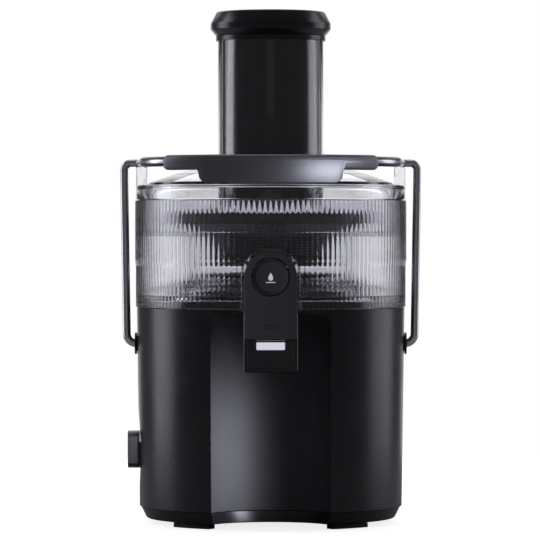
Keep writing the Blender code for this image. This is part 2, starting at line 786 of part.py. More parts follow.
def front_point(angle, radius, z):
    """A point of the front arc, by its angle from the middle of the front towards +X."""
    return Vector((radius * math.sin(angle), -radius * math.cos(angle), z))


def rod_path(side, into_grip):
    """Pivot stub, foot bend, leaning leg, head bend over the lid's ear, side run and the curve to the grip."""
    middle_r = (GRIP_INNER_R + GRIP_OUTER_R) / 2
    end_angle = math.asin(GRIP_END_HALF / GRIP_OUTER_R)
    stub = Vector((side * ROD_END_X, 0.0, ARM_Z))
    foot = Vector((side * ROD_FOOT_X, 0.0, ARM_Z))
    head = Vector((side * ROD_HEAD_X, 0.0, ROD_TOP_Z))
    shoulder = Vector((side * ROD_SIDE_X, 0.0, ROD_TOP_Z))
    run_end = Vector((side * ROD_SIDE_X, ROD_SIDE_END_Y, ROD_TOP_Z))
    grip_end = front_point(side * (end_angle + 1.0 / middle_r), middle_r, ROD_TOP_Z)
    inside = front_point(side * (end_angle - into_grip / middle_r), middle_r, ROD_TOP_Z)
    points = [stub]
    points += bend(foot, stub, head, ROD_FOOT_BEND)
    points += bend(head, foot, shoulder, ROD_HEAD_BEND)
    points += bend(shoulder, head, run_end, ROD_SIDE_BEND)
    tangent = (inside - grip_end).normalized()
    knee = grip_end - tangent * KNEE_REACH
    for i in range(6):
        t = i / 5
        points.append(run_end * (1 - t) ** 2 + knee * 2 * t * (1 - t) + grip_end * t * t)
    points.append(inside)
    return points


def make_lock_arm():
    axis = new_axis("arm_axis", (0.0, 0.0, ARM_Z))
    grip = on_axis(make_grip(), axis)
    on_axis(make_grip_panel(), axis)
    for side, word in ((-1, "left"), (1, "right")):
        rod = new_object(f"arm_rod_{word}", tube_mesh(rod_path(side, ROD_IN_GRIP), ROD_R, 10), "steel")
        on_axis(rod, axis)
        end_of_rod = rod_path(side, ROD_IN_GRIP + 1.0)[-4:]
        socket = new_object(f"grip_socket_{word}", tube_mesh(end_of_rod, ROD_R + GAP, 10))
        on_axis(socket, axis)
        cut(grip, socket)
        bore = ROD_R + GAP
        along = (side, 0, 0)
        washer = ring(bore, BUSH_R + 0.2, 0.0, 1.5)
        place = (side * (ROD_END_X + 1.5), 0, ARM_Z)
        on_axis(turned_sideways(f"arm_clip_{word}", washer, "steel", 12, place, along), axis)
        bush = [(bore, 0.0), (BUSH_R, 0.0), (BUSH_R, 6.6), (8.5, 6.6), (8.5, 8.2), (bore, 8.2)]
        turned_sideways(f"arm_bush_{word}", bush, "black_satin", COARSE, (side * BUSH_X, 0, ARM_Z), along)


def grip_low(x):
    """Lower edge of the grip: a wide plate in the middle that sweeps up to the slim ends."""
    t = (abs(x) - GRIP_PLATE_HALF) / (GRIP_SWEEP_HALF - GRIP_PLATE_HALF)
    t = min(max(t, 0.0), 1.0)
    return GRIP_PLATE_Z + (GRIP_END_Z - GRIP_PLATE_Z) * (3 * t * t - 2 * t**3)


def arc_band(name, stations, section, finish):
    """A band along the front arc: one closed section of (radius, height) points at each station."""
    bm = bmesh.new()
    rings = []
    for x in stations:
        angle = math.asin(x / GRIP_OUTER_R)
        rings.append([
            bm.verts.new((r * math.sin(angle), -r * math.cos(angle), z)) for r, z in section(x)
        ])
    count = len(rings[0])
    for a, b in zip(rings, rings[1:]):
        for k in range(count):
            bm.faces.new((a[k], a[(k + 1) % count], b[(k + 1) % count], b[k]))
    bm.faces.new(rings[0])
    bm.faces.new(rings[-1])
    return new_object(name, bm, finish)


def grip_stations(half):
    marks = [x for x in (0.0, 15.0, 30.0, 44.0, 56.5, 58.5, 60.0, 61.5, 63.5, 66.0, 75.0) if x < half]
    marks.append(half)
    return [-x for x in reversed(marks[1:])] + marks


def make_grip():
    front = GRIP_OUTER_R - PANEL_THICK
    shoulder = GRIP_TOP_Z - 1.8

    def section(x):
        low = grip_low(x)
        return [
            (GRIP_INNER_R, low), (front, low), (front, PANEL_TOP_Z + 0.4), (GRIP_OUTER_R, PANEL_TOP_Z + 0.7),
            (GRIP_OUTER_R, shoulder), (front - 0.4, GRIP_TOP_Z), (GRIP_INNER_R + 1.5, GRIP_TOP_Z),
            (GRIP_INNER_R, shoulder),
        ]

    return arc_band("arm_grip", grip_stations(GRIP_END_HALF), section, "black_satin")


def make_grip_panel():
    back = GRIP_OUTER_R - PANEL_THICK + GAP

    def section(x):
        low = grip_low(x) + 0.4
        return [(back, low), (GRIP_OUTER_R, low), (GRIP_OUTER_R, PANEL_TOP_Z), (back, PANEL_TOP_Z)]

    return arc_band("grip_panel", grip_stations(GRIP_END_HALF - 2.0), section, "black_satin")


def make_lid():
    skirt_inner = SKIRT_R - LID_WALL
    profile = [
        *LID_DOME,
        (97.0, LID_EDGE_Z),
        (LID_R - EDGE, LID_EDGE_Z),
        (LID_R, LID_EDGE_Z - EDGE),
        (LID_R, LID_LOW_Z),
        (SKIRT_R, LID_LOW_Z),
        (SKIRT_R, SKIRT_LOW_Z),
        (LID_FLANGE_R, SKIRT_LOW_Z),
        (LID_FLANGE_R, SKIRT_LOW_Z + LID_WALL),
        (skirt_inner, SKIRT_LOW_Z + LID_WALL),
        (skirt_inner, LID_EDGE_Z - LID_WALL),
        *[(r, z - LID_WALL) for r, z in reversed(LID_DOME)],
    ]
    lid = turned("lid", profile, "clear_smoke")
    join(lid, ear(-1), ear(1), make_hood())
    low = (-THROAT_HALF, 60.0, LID_LOW_Z + 0.8)
    cut(lid, block("lid_throat", low, (THROAT_HALF, 128.0, LID_EDGE_Z - LID_WALL)))


def ear(side):
    """A lug that the arm's rod rests on, with a lip behind the rod."""
    low_z = LID_EDGE_Z - 2.0
    outline = [
        (-5.0, low_z), (-5.0, EAR_TOP_Z), (3.8, EAR_TOP_Z), (3.8, EAR_LIP_Z), (6.4, EAR_LIP_Z), (9.0, low_z)
    ]
    low, high = sorted((side * EAR_INNER_X, side * EAR_OUTER_X))
    return prism(f"lid_ear_{side + 1}", outline, low, high, None, "X")


def make_hood():
    """The lid's box over the pulp bin: open below, with its front bounded by the bowl."""
    centre = (0.0, BIN_CENTRE_Y)
    below = HOOD_LOW_Z - PAST
    hood = turned("lid_hood", disc(HOOD_R, HOOD_LOW_Z, LID_EDGE_Z), centre=centre)
    inside = turned("hood_inside", disc(HOOD_R - LID_WALL, below, LID_EDGE_Z - LID_WALL), centre=centre)
    bowl_room = turned("hood_bowl_room", disc(BOWL_R + 1.0, below, LID_LOW_Z - 0.2))
    lid_room = turned("hood_lid_room", disc(SKIRT_R + 1.2, below, LID_EDGE_Z + PAST))
    return cut(hood, inside, bowl_room, lid_room)


def make_feed_tube():
    profile = [
        (TUBE_COLLAR_R, TUBE_TOP_Z),
        (TUBE_COLLAR_R, TUBE_COLLAR_Z),
        (TUBE_R, TUBE_COLLAR_Z),
        (TUBE_R, TUBE_LOW_Z),
        (TUBE_BORE_R, TUBE_LOW_Z),
        (TUBE_BORE_R, TUBE_TOP_Z),
    ]
    turned("feed_tube", profile, "clear_smoke", MEDIUM)
    seal = ring(SKIRT_R - LID_WALL, BOWL_R - BOWL_WALL - GAP, SKIRT_LOW_Z - 3.0, SKIRT_LOW_Z - GAP)
    turned("lid_seal", seal, "rubber")


def make_pusher():
    axis = new_axis("pusher_axis", (0.0, 0.0, PUSHER_LOW_Z))
    bore = PUSHER_R - PUSHER_WALL
    top = TUBE_TOP_Z + 0.1
    cup = [
        (PUSHER_R, top), (PUSHER_R, PUSHER_LOW_Z + 2.0), (PUSHER_R - 2.0, PUSHER_LOW_Z), (0.0, PUSHER_LOW_Z),
        (0.0, PUSHER_LOW_Z + 3.0), (bore, PUSHER_LOW_Z + 3.0), (bore, top),
    ]
    plug_r = bore - GAP
    under = TUBE_TOP_Z + 0.4
    cap = [
        (0.0, CAP_TOP_Z), (CAP_R - 6.5, CAP_TOP_Z), (CAP_R - 4.9, CAP_TOP_Z - 1.4), (CAP_R, CAP_TOP_Z - 9.3),
        (CAP_R, CAP_TOP_Z - 14.0), (TUBE_COLLAR_R + 0.2, under), (plug_r, under), (plug_r, under - 7.0),
        (plug_r - 2.2, under - 7.0), (plug_r - 2.2, CAP_TOP_Z - 3.0), (0.0, CAP_TOP_Z - 3.0),
    ]
    on_axis(turned("pusher_body", cup, "black_satin", MEDIUM), axis)
    on_axis(turned("pusher_cap", cap, "black_satin", MEDIUM), axis)


def bin_outline(inset):
    """Plan of the pulp bin: the hood's circle behind, a hollow that clears the bowl in front, flat sides."""
    half = BIN_HALF - inset
    back_r = BIN_R - inset
    front_r = BIN_FRONT_R + inset
    back = math.degrees(math.acos(half / back_r))
    front = math.degrees(math.acos(half / front_r))
    outline = arc(back_r, back, 180.0 - back, 14, (0.0, BIN_CENTRE_Y))
    return outline + arc(front_r, 180.0 - front, front, 12)


def make_pulp_bin():
    axis = new_axis("bin_axis", (0.0, BIN_FRONT_R, 0.0))
    pulp_bin = prism("pulp_bin", bin_outline(0.0), 0.0, BIN_TOP_Z, "clear_smoke")
    on_axis(pulp_bin, axis)
    hollow = prism("bin_hollow", bin_outline(BIN_WALL), BIN_WALL + 0.4, BIN_TOP_Z + PAST)
    cut(pulp_bin, on_axis(hollow, axis))


def main():
    clear_scene()
    new_axis("bowl_axis", (0.0, AXIS_Y, 0.0))
    make_housing()
    make_bay_wall()
    make_base_tray()
    make_feet()
    make_cord_inlet()
    make_motor()
    make_rotor()
    make_knob()
    make_bowl()
    make_spout()
    make_drip_stop()
    make_button_spring()
    make_lock_arm()
    make_lid()
    make_feed_tube()
    make_pusher()
    make_pulp_bin()


main()
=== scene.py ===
"""Looks of a centrifugal juicer, laid out as a Blender add-on and run as a script.

Lengths in the shapes below are millimetres about the bowl's upright axis, with -Y to the front. Each
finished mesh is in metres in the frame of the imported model.
"""

import json
import math

import bmesh
import bpy
import numpy as np
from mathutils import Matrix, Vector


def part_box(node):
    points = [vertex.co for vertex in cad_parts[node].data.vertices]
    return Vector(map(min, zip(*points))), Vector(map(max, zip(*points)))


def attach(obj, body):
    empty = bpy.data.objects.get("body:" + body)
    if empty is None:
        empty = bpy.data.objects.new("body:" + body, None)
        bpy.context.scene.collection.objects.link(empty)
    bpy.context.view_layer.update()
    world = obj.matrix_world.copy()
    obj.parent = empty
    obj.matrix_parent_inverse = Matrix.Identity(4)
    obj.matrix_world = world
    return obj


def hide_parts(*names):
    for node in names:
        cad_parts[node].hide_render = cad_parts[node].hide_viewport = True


bl_info = {
    "name": "Centrifugal Juicer Looks",
    "version": (1, 0, 0),
    "blender": (4, 5, 0),
    "location": "3D View > Sidebar > Juicer",
    "description": "Builds the surfaces and finishes of a centrifugal juicer round its frame",
    "category": "Object",
}

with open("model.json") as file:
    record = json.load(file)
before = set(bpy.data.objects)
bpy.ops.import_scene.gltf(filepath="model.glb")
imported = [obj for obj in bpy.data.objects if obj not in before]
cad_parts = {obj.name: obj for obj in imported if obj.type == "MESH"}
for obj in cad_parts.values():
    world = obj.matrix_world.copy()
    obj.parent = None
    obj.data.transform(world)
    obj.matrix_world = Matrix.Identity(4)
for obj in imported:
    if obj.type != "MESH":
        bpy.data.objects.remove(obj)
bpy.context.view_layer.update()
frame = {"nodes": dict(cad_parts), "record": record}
MM = 0.001
SHARP_DEG = 32.0


def axis_place():
    """The bowl's upright axis, which is the middle of the round feed tube, in metres."""
    low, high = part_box("feed_tube")
    return np.array([(low[0] + high[0]) / 2, (low[1] + high[1]) / 2, 0.0])


AXIS = axis_place()


def span(node):
    """A node's lowest and highest corners in millimetres about the bowl's axis."""
    low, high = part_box(node)
    return (np.array(low) - AXIS) / MM, (np.array(high) - AXIS) / MM


HOUSING_LOW, HOUSING_HIGH = span("motor_housing")
TRAY_LOW, TRAY_HIGH = span("base_tray")
BOWL_LOW, BOWL_HIGH = span("juice_bowl")
LID_LOW, LID_HIGH = span("lid")
TUBE_LOW, TUBE_HIGH = span("feed_tube")
_, CAP_HIGH = span("pusher_cap")
PUSHER_LOW, PUSHER_HIGH = span("pusher_body")
COVER_LOW, COVER_HIGH = span("spout_cover")
CHANNEL_LOW, CHANNEL_HIGH = span("spout_channel")
BUTTON_LOW, BUTTON_HIGH = span("drip_stop_button")
NOZZLE_LOW, NOZZLE_HIGH = span("nozzle")
GATE_LOW, GATE_HIGH = span("drip_stop_gate")
KNOB_LOW, KNOB_HIGH = span("speed_knob")
GRIP_LOW, GRIP_HIGH = span("arm_grip")
_, ROD_HIGH = span("arm_rod_right")
_, BIN_HIGH = span("pulp_bin")
CLIP_LOW, CLIP_HIGH = span("arm_clip_right")

BAY_R = 48.0
BAY_Y = -107.0
BAY_TOP_Z = 165.0
BAY_FILLET = 8.0
TRAY_FOOT_R = 96.0
SIDE_LOW_R = 102.8
SIDE_TOP_Z = 168.2
DISH_X = -101.0
DISH_CURVE = 2.4 / 30.0**2
DECK_Z = 174.4
DECK_R = 100.2
DOME_STEPS = ((74.0, 179.6), (65.0, 183.6), (51.0, 187.5))
SHAFT_HOLE_R = 13.5
HOOD_CENTRE_Y = 75.0
SPOUT_Z = (BUTTON_LOW[2] + BUTTON_HIGH[2]) / 2
KNOB_Z = (KNOB_LOW[2] + KNOB_HIGH[2]) / 2
ARM_Z = (CLIP_LOW[2] + CLIP_HIGH[2]) / 2
ROD_R = 3.15


# Numbers and colours


def linear(code):
    """An sRGB hex colour as linear red, green and blue."""
    shares = [int(code[i : i + 2], 16) / 255 for i in (1, 3, 5)]
    return tuple(s / 12.92 if s <= 0.04045 else ((s + 0.055) / 1.055) ** 2.4 for s in shares)


def smooth_step(t):
    t = np.clip(t, 0.0, 1.0)
    return t * t * (3 - 2 * t)


def arc(centre, radius, start_deg, end_deg, steps):
    """Points of a circle's arc in a plane: centre plus radius times cosine and sine."""
    angle = np.radians(np.linspace(start_deg, end_deg, steps + 1))
    return np.column_stack([centre[0] + radius * np.cos(angle), centre[1] + radius * np.sin(angle)])


def rounded(outline, radius, steps=4, closed=True):
    """An outline with each corner replaced by an arc that touches both of its sides. The radius shrinks
    where a side is too short for it. Works in a plane or in space."""
    points = [np.array(p, float) for p in outline]
    count = len(points)
    radii = radius if hasattr(radius, "__len__") else [radius] * count
    result = []
    for i, corner in enumerate(points):
        if not closed and i in (0, count - 1):
            result.append(corner)
            continue
        before, after = points[i - 1], points[(i + 1) % count]
        into, out = before - corner, after - corner
        reach_in, reach_out = np.linalg.norm(into), np.linalg.norm(out)
        into, out = into / reach_in, out / reach_out
        half = math.acos(float(np.clip(np.dot(into, out), -1.0, 1.0))) / 2
        if radii[i] <= 0.0 or half > math.radians(89.0):
            result += [corner] * (steps + 1 if radii[i] > 0.0 else 1)
            continue
        cut = min(radii[i] / math.tan(half), 0.45 * reach_in, 0.45 * reach_out)
        r = cut * math.tan(half)
        middle = corner + (into + out) / np.linalg.norm(into + out) * r / math.sin(half)
        first, last = corner + into * cut - middle, corner + out * cut - middle
        sweep = math.pi - 2 * half
        for k in range(steps + 1):
            t = k / steps
            mix = first * math.sin((1 - t) * sweep) + last * math.sin(t * sweep)
            result.append(middle + mix / math.sin(sweep))
    return np.array(result)


# Surfaces


def grid_faces(rows, columns, wrap_rows, wrap_columns):
    """Four-sided faces of a grid of points, with its last row or column joined to the first."""
    row = np.arange(rows if wrap_rows else rows - 1)[:, None]
    column = np.arange(columns if wrap_columns else columns - 1)[None, :]
    next_row, next_column = (row + 1) % rows, (column + 1) % columns
    corners = [
        row * columns + column,
        row * columns + next_column,
        next_row * columns + next_column,
        next_row * columns + column,
    ]
    return np.stack(corners, -1).reshape(-1, 4).tolist()


def new_piece(name, points, faces, body, finish, stands_for=(), slot=None):
    """Puts points in millimetres about the axis and their faces into a mesh, merges seams and poles,
    turns the faces outwards and hangs the piece on a body of the frame."""
    mesh = bpy.data.meshes.new(name)
    mesh.from_pydata((np.asarray(points, float) * MM + AXIS).tolist(), [], faces)
    bm = bmesh.new()
    bm.from_mesh(mesh)
    bmesh.ops.remove_doubles(bm, verts=bm.verts, dist=2e-6)
    bmesh.ops.recalc_face_normals(bm, faces=bm.faces)
    bm.to_mesh(mesh)
    bm.free()
    mesh.shade_smooth()
    mesh.set_sharp_from_angle(angle=math.radians(SHARP_DEG))
    piece = bpy.data.objects.new(name, mesh)
    bpy.context.scene.collection.objects.link(piece)
    mesh.materials.append(FINISHES[finish])
    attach(piece, body)
    if stands_for:
        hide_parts(*stands_for)
    return piece


def loft(name, rows, body, finish, ring=False, **more):
    """A surface through equal closed rows of points. A ring joins the last row to the first, and any
    other loft is closed by a flat face on its first and last row."""
    grid = np.asarray(rows, float)
    count, columns = grid.shape[:2]
    faces = grid_faces(count, columns, ring, True)
    if not ring:
        faces.append(list(range(columns)))
        faces.append(list(range((count - 1) * columns, count * columns))[::-1])
    return new_piece(name, grid.reshape(-1, 3), faces, body, finish, **more)


def turn(profile, columns=160):
    """Rows of a turned shape: each (radius, height) point goes round the axis as a circle."""
    angle = np.arange(columns) * math.tau / columns
    profile = np.asarray(profile, float)
    x = profile[:, :1] * np.cos(angle)
    y = profile[:, :1] * np.sin(angle)
    return np.stack([x, y, np.broadcast_to(profile[:, 1:2], x.shape)], -1)


def lathe(name, profile, body, finish, radius=0.8, columns=160, **more):
    """A turned piece with a closed profile of (radius, height) points whose corners are rounded."""
    return loft(name, turn(rounded(profile, radius), columns), body, finish, ring=True, **more)


def stack(outline, levels, place):
    """Rows of a plate: a closed outline, drawn in by an inset at each level. The inset moves each point
    along the outline's own normal, found from the points on its two sides."""
    outline = np.asarray(outline, float)
    along = np.roll(outline, -1, 0) - np.roll(outline, 1, 0)
    along /= np.linalg.norm(along, axis=1)[:, None]
    normal = np.column_stack([along[:, 1], -along[:, 0]])
    area = np.sum(outline[:, 0] * np.roll(outline[:, 1], -1) - outline[:, 1] * np.roll(outline[:, 0], -1))
    outwards = normal * np.sign(area)
    return [place(*(outline - outwards * inset).T, level) for inset, level in levels]


def edge_levels(low, high, radius, steps=4):
    """(inset, level) pairs of a plate from one face to the other, with quarter-round edges."""
    angle = np.linspace(0.0, math.pi / 2, steps + 1)
    first = [(radius * (1 - math.sin(a)), low + radius * (1 - math.cos(a))) for a in angle]
    return first + [(inset, high + low - level) for inset, level in reversed(first)]


def upright(u, v, level):
    return np.column_stack([u, v, np.full_like(u, level)])


def facing_front(u, v, level):
    return np.column_stack([u, np.full_like(u, level), v])


def facing_side(u, v, level):
    return np.column_stack([np.full_like(u, level), u, v])


def box_outline(low_u, low_v, high_u, high_v, radius, steps=4):
    """A four-cornered outline with rounded corners, counted from its lower left."""
    return rounded([(low_u, low_v), (high_u, low_v), (high_u, high_v), (low_u, high_v)], radius, steps)


def straight(outline, low, high, place=facing_front):
    """Rows of a plate with sharp edges, from one level to another."""
    return stack(outline, [(0.0, low), (0.0, high)], place)


def plate(outline, low, high, edge, place=facing_front):
    """Rows of a plate with quarter-round edges, from one level to another."""
    return stack(outline, edge_levels(low, high, edge), place)


def sweep(path, section, up=(0.0, 0.0, 1.0)):
    """Rows of a section carried along a path: each section point is moved sideways and along the
    frame's second axis, which is held as near to the last one as the path allows."""
    path = np.asarray(path, float)
    tangent = np.gradient(path, axis=0)
    tangent /= np.linalg.norm(tangent, axis=1)[:, None]
    rows = []
    normal = np.asarray(up, float)
    for point, along in zip(path, tangent):
        normal = normal - along * np.dot(normal, along)
        normal /= np.linalg.norm(normal)
        side = np.cross(along, normal)
        rows.append(point + section[:, :1] * side + section[:, 1:2] * normal)
    return rows


def circle(radius, sides):
    angle = np.arange(sides) * math.tau / sides
    return np.column_stack([radius * np.cos(angle), radius * np.sin(angle)])


def finish_with(piece, other, operation):
    """Joins or cuts a piece with another closed surface for good, and removes the other."""
    modifier = piece.modifiers.new(operation.lower(), "BOOLEAN")
    modifier.operation = operation
    modifier.solver = "MANIFOLD"
    modifier.object = other
    apply_modifiers(piece)
    bpy.data.objects.remove(other, do_unlink=True)


def cut_out(piece, *cutters):
    """Cuts a piece with closed surfaces, each given as its rows. The cut faces take the piece's own finish."""
    for rows in cutters:
        cutter = loft("cutter", rows, "root", "body")
        cutter.data.materials[0] = piece.data.materials[0]
        finish_with(piece, cutter, "DIFFERENCE")


def apply_modifiers(piece, reshade=True):
    """Keeps what the piece's modifiers make as its own mesh."""
    bpy.context.view_layer.update()
    shaped = bpy.data.meshes.new_from_object(piece.evaluated_get(bpy.context.evaluated_depsgraph_get()))
    piece.modifiers.clear()
    piece.data = shaped
    if reshade:
        shaped.shade_smooth()
        shaped.set_sharp_from_angle(angle=math.radians(SHARP_DEG))


def flatten(piece):
    """Weighs the normals by face area, so that flat faces stay flat beside their rounded edges."""
    modifier = piece.modifiers.new("flat_faces", "WEIGHTED_NORMAL")
    modifier.keep_sharp = True
    modifier.weight = 80
    apply_modifiers(piece, reshade=False)


def soften(piece, width):
    """Rounds the piece's hard edges, as a mould does."""
    modifier = piece.modifiers.new("moulded_edges", "BEVEL")
    modifier.width = width * MM
    modifier.segments = 3
    modifier.limit_method = "ANGLE"
    modifier.angle_limit = math.radians(38.0)
    apply_modifiers(piece)
    flatten(piece)


# Materials


def add(tree, kind, values=None, links=None, **settings):
    """Adds a node with its settings, socket values and links, and returns it."""
    node = tree.nodes.new(kind)
    for key, value in settings.items():
        setattr(node, key, value)
    for key, value in (values or {}).items():
        node.inputs[key].default_value = value
    for key, source in (links or {}).items():
        tree.links.new(source, node.inputs[key])
    return node


def new_material(name, colour, roughness, **values):
    """A material with its shader's own values set. Returns it, its tree and its shader."""
    material = bpy.data.materials.new(name)
    material.use_nodes = True
    tree = material.node_tree
    shader = tree.nodes["Principled BSDF"]
    shader.inputs["Base Color"].default_value = (*colour, 1.0)
    shader.inputs["Roughness"].default_value = roughness
    for key, value in values.items():
        shader.inputs[key.replace("_", " ")].default_value = value
    return material, tree, shader


def object_noise(tree, size_mm, detail=3.0, stretch=(1.0, 1.0, 1.0)):
    """Noise on object coordinates whose grains measure about size_mm."""
    place = add(tree, "ShaderNodeTexCoord")
    scaled = add(tree, "ShaderNodeMapping", {"Scale": stretch}, {"Vector": place.outputs["Object"]})
    return add(
        tree,
        "ShaderNodeTexNoise",
        {"Scale": 1.0 / (size_mm * MM), "Detail": detail, "Roughness": 0.55},
        {"Vector": scaled.outputs["Vector"]},
    )


def bump(tree, shader, height, depth_mm, strength=1.0):
    node = add(tree, "ShaderNodeBump", {"Strength": strength, "Distance": depth_mm * MM}, {"Height": height})
    tree.links.new(node.outputs["Normal"], shader.inputs["Normal"])


def vary(tree, shader, socket, source, low, high):
    """Drives a socket between two values by a pattern."""
    node = add(tree, "ShaderNodeMapRange", {"To Min": low, "To Max": high}, {"Value": source})
    tree.links.new(node.outputs["Result"], shader.inputs[socket])


def vary_colour(tree, shader, source, dark, light):
    ramp = add(tree, "ShaderNodeValToRGB", links={"Fac": source})
    ramp.color_ramp.elements[0].position = 0.35
    ramp.color_ramp.elements[1].position = 0.65
    ramp.color_ramp.elements[0].color = (*dark, 1.0)
    ramp.color_ramp.elements[1].color = (*light, 1.0)
    tree.links.new(ramp.outputs["Color"], shader.inputs["Base Color"])


def spark_textured_abs(name, dark, light, roughness):
    """Moulded ABS from a spark-eroded tool: a fine even grain gives a soft, satin sheen. The real grain
    of 0.1 mm is drawn at 0.5 mm so that it shows."""
    material, tree, shader = new_material(name, light, roughness, IOR=1.53)
    grain = object_noise(tree, 0.5)
    patch = object_noise(tree, 35.0, 2.0)
    bump(tree, shader, grain.outputs["Fac"], 0.012)
    vary(tree, shader, "Roughness", patch.outputs["Fac"], roughness - 0.04, roughness + 0.05)
    vary_colour(tree, shader, patch.outputs["Fac"], dark, light)
    return material


def clear_san(name, tint, roughness):
    """Injection-moulded SAN, clear and lightly smoked: glossy, with the faint waviness of a moulded wall."""
    material, tree, shader = new_material(name, tint, roughness, IOR=1.50, Transmission_Weight=1.0)
    wave = object_noise(tree, 40.0, 0.0)
    bump(tree, shader, wave.outputs["Fac"], 0.05, 0.3)
    vary(tree, shader, "Roughness", wave.outputs["Fac"], roughness, roughness + 0.02)
    return material


def drawn_stainless(name, colour, roughness):
    """Polished stainless rod: a mirror-like surface with very fine lines that run up its length."""
    material, tree, shader = new_material(name, colour, roughness, Metallic=1.0)
    lines = object_noise(tree, 0.7, 2.0, (1.0, 1.0, 0.03))
    bump(tree, shader, lines.outputs["Fac"], 0.004)
    vary(tree, shader, "Roughness", lines.outputs["Fac"], roughness - 0.03, roughness + 0.05)
    return material


def brushed_stainless(name, colour, roughness, stretch=(0.03, 0.03, 1.0)):
    """Stainless sheet brushed with fine grit: lines 0.3 mm apart, which run sideways unless stretched in
    another direction."""
    material, tree, shader = new_material(name, colour, roughness, Metallic=1.0)
    lines = object_noise(tree, 0.3, 2.0, stretch)
    bump(tree, shader, lines.outputs["Fac"], 0.01)
    vary(tree, shader, "Roughness", lines.outputs["Fac"], roughness - 0.06, roughness + 0.1)
    return material


def maths(tree, operation, *values):
    """The result of a sum on one or two values, each a socket or a number."""
    node = add(tree, "ShaderNodeMath", operation=operation)
    for socket, value in zip(node.inputs, values):
        if isinstance(value, (int, float)):
            socket.default_value = value
        else:
            tree.links.new(value, socket)
    return node.outputs["Value"]


def polar(tree):
    """Angle round the bowl's axis and height, read from object coordinates."""
    place = add(tree, "ShaderNodeTexCoord")
    centred = add(tree, "ShaderNodeMapping", {"Location": tuple(-AXIS)}, {"Vector": place.outputs["Object"]})
    parts = add(tree, "ShaderNodeSeparateXYZ", links={"Vector": centred.outputs["Vector"]})
    return maths(tree, "ARCTAN2", parts.outputs["Y"], parts.outputs["X"]), parts.outputs["Z"]


def wave_of(tree, source, rate):
    return maths(tree, "SINE", maths(tree, "MULTIPLY", source, rate))


def etched_sieve(name, steel, hole):
    """Photo-etched stainless sieve: rows of fine holes round the cone, drawn as near-black dots that paint the shade
    seen through the holes. The real holes are 0.35 mm, at a pitch of 0.8 mm; they are drawn at a pitch of 2.2 mm so
    that they show."""
    material, tree, shader = new_material(name, steel, 0.32, Metallic=1.0)
    angle, height = polar(tree)
    pitch, middle_r = 2.2, 58.0
    around = wave_of(tree, angle, round(math.tau * middle_r / pitch / 2) * 1.0)
    along = wave_of(tree, height, math.tau / (2 * pitch * MM))
    size = maths(tree, "ABSOLUTE", maths(tree, "MULTIPLY", around, along))
    edge = add(
        tree, "ShaderNodeMapRange", {"From Min": 0.42, "From Max": 0.55, "To Min": 0.0, "To Max": 1.0},
        {"Value": size},
    ).outputs["Result"]
    # The hole colour is painted shade for what is seen through the holes.
    tree.links.new(mix_colour(tree, edge, steel, hole), shader.inputs["Base Color"])
    vary(tree, shader, "Roughness", edge, 0.3, 0.75)
    bump(tree, shader, edge, -0.12)
    return material


def mix_colour(tree, factor, first, second):
    node = add(tree, "ShaderNodeMix", links={0: factor}, data_type="RGBA")
    node.inputs[6].default_value = (*first, 1.0)
    node.inputs[7].default_value = (*second, 1.0)
    return node.outputs[2]


def soft_rubber(name, colour):
    """Moulded nitrile rubber: matt, with a dusty bloom in patches 6 mm wide."""
    material, tree, shader = new_material(name, colour, 0.8, IOR=1.52)
    bloom = object_noise(tree, 6.0)
    grain = object_noise(tree, 0.6)
    vary_colour(tree, shader, bloom.outputs["Fac"], colour, tuple(c * 1.6 + 0.004 for c in colour))
    bump(tree, shader, grain.outputs["Fac"], 0.03)
    return material


def metallic_lacquer(name, dark, light, roughness):
    """Graphite lacquer with aluminium flake under a satin coat: it brightens where it faces a light."""
    material, tree, shader = new_material(name, light, roughness, Metallic=0.85)
    flake = object_noise(tree, 0.4, 1.0)
    vary_colour(tree, shader, flake.outputs["Fac"], dark, light)
    vary(tree, shader, "Roughness", flake.outputs["Fac"], roughness - 0.05, roughness + 0.05)
    return material


def glowing_pad_print(name, colour):
    """Pad-printed ink: opaque, faintly uneven, with a dry surface. It glows with its own colour at 0.45: a painted
    glow that keeps the ink bright.
    """
    # The emission is a painted glow on the ink.
    material, tree, shader = new_material(name, colour, 0.45, IOR=1.5, Emission_Strength=0.45)
    shader.inputs["Emission Color"].default_value = (*colour, 1.0)
    dapple = object_noise(tree, 0.8)
    vary(tree, shader, "Roughness", dapple.outputs["Fac"], 0.4, 0.55)
    return material


def wound_copper(name, colour):
    """Enamelled copper winding: rows of 0.8 mm wire under a warm varnish."""
    material, tree, shader = new_material(name, colour, 0.3, Metallic=1.0)
    angle, height = polar(tree)
    wire = wave_of(tree, height, math.tau / (0.8 * MM))
    bump(tree, shader, wire, 0.2)
    vary(tree, shader, "Roughness", wire, 0.25, 0.45)
    return material


def stamped_iron(name, colour):
    """A stack of stamped iron sheets: flat, dull edges in bands 1 mm thick."""
    material, tree, shader = new_material(name, colour, 0.55, Metallic=1.0)
    angle, height = polar(tree)
    sheet = wave_of(tree, height, math.tau / (1.0 * MM))
    bump(tree, shader, sheet, 0.08)
    vary(tree, shader, "Roughness", sheet, 0.5, 0.65)
    return material


def solder_mask(name, colour):
    """Glass-epoxy board under green solder mask: a glossy skin over a 0.5 mm weave."""
    material, tree, shader = new_material(name, colour, 0.3, IOR=1.5)
    weave = object_noise(tree, 0.5, 2.0)
    bump(tree, shader, weave.outputs["Fac"], 0.02)
    vary_colour(tree, shader, weave.outputs["Fac"], colour, tuple(c * 1.3 for c in colour))
    return material


def seen_clearly(tree):
    """One for what the camera sees straight or through clear parts alone, and zero for every other ray."""
    path = add(tree, "ShaderNodeLightPath").outputs
    bounced = maths(tree, "ADD", path["Glossy Depth"], path["Diffuse Depth"])
    direct = maths(tree, "LESS_THAN", bounced, 0.5)
    through = maths(tree, "MULTIPLY", path["Is Transmission Ray"], direct)
    return maths(tree, "MAXIMUM", path["Is Camera Ray"], through)


FINISHES = {}


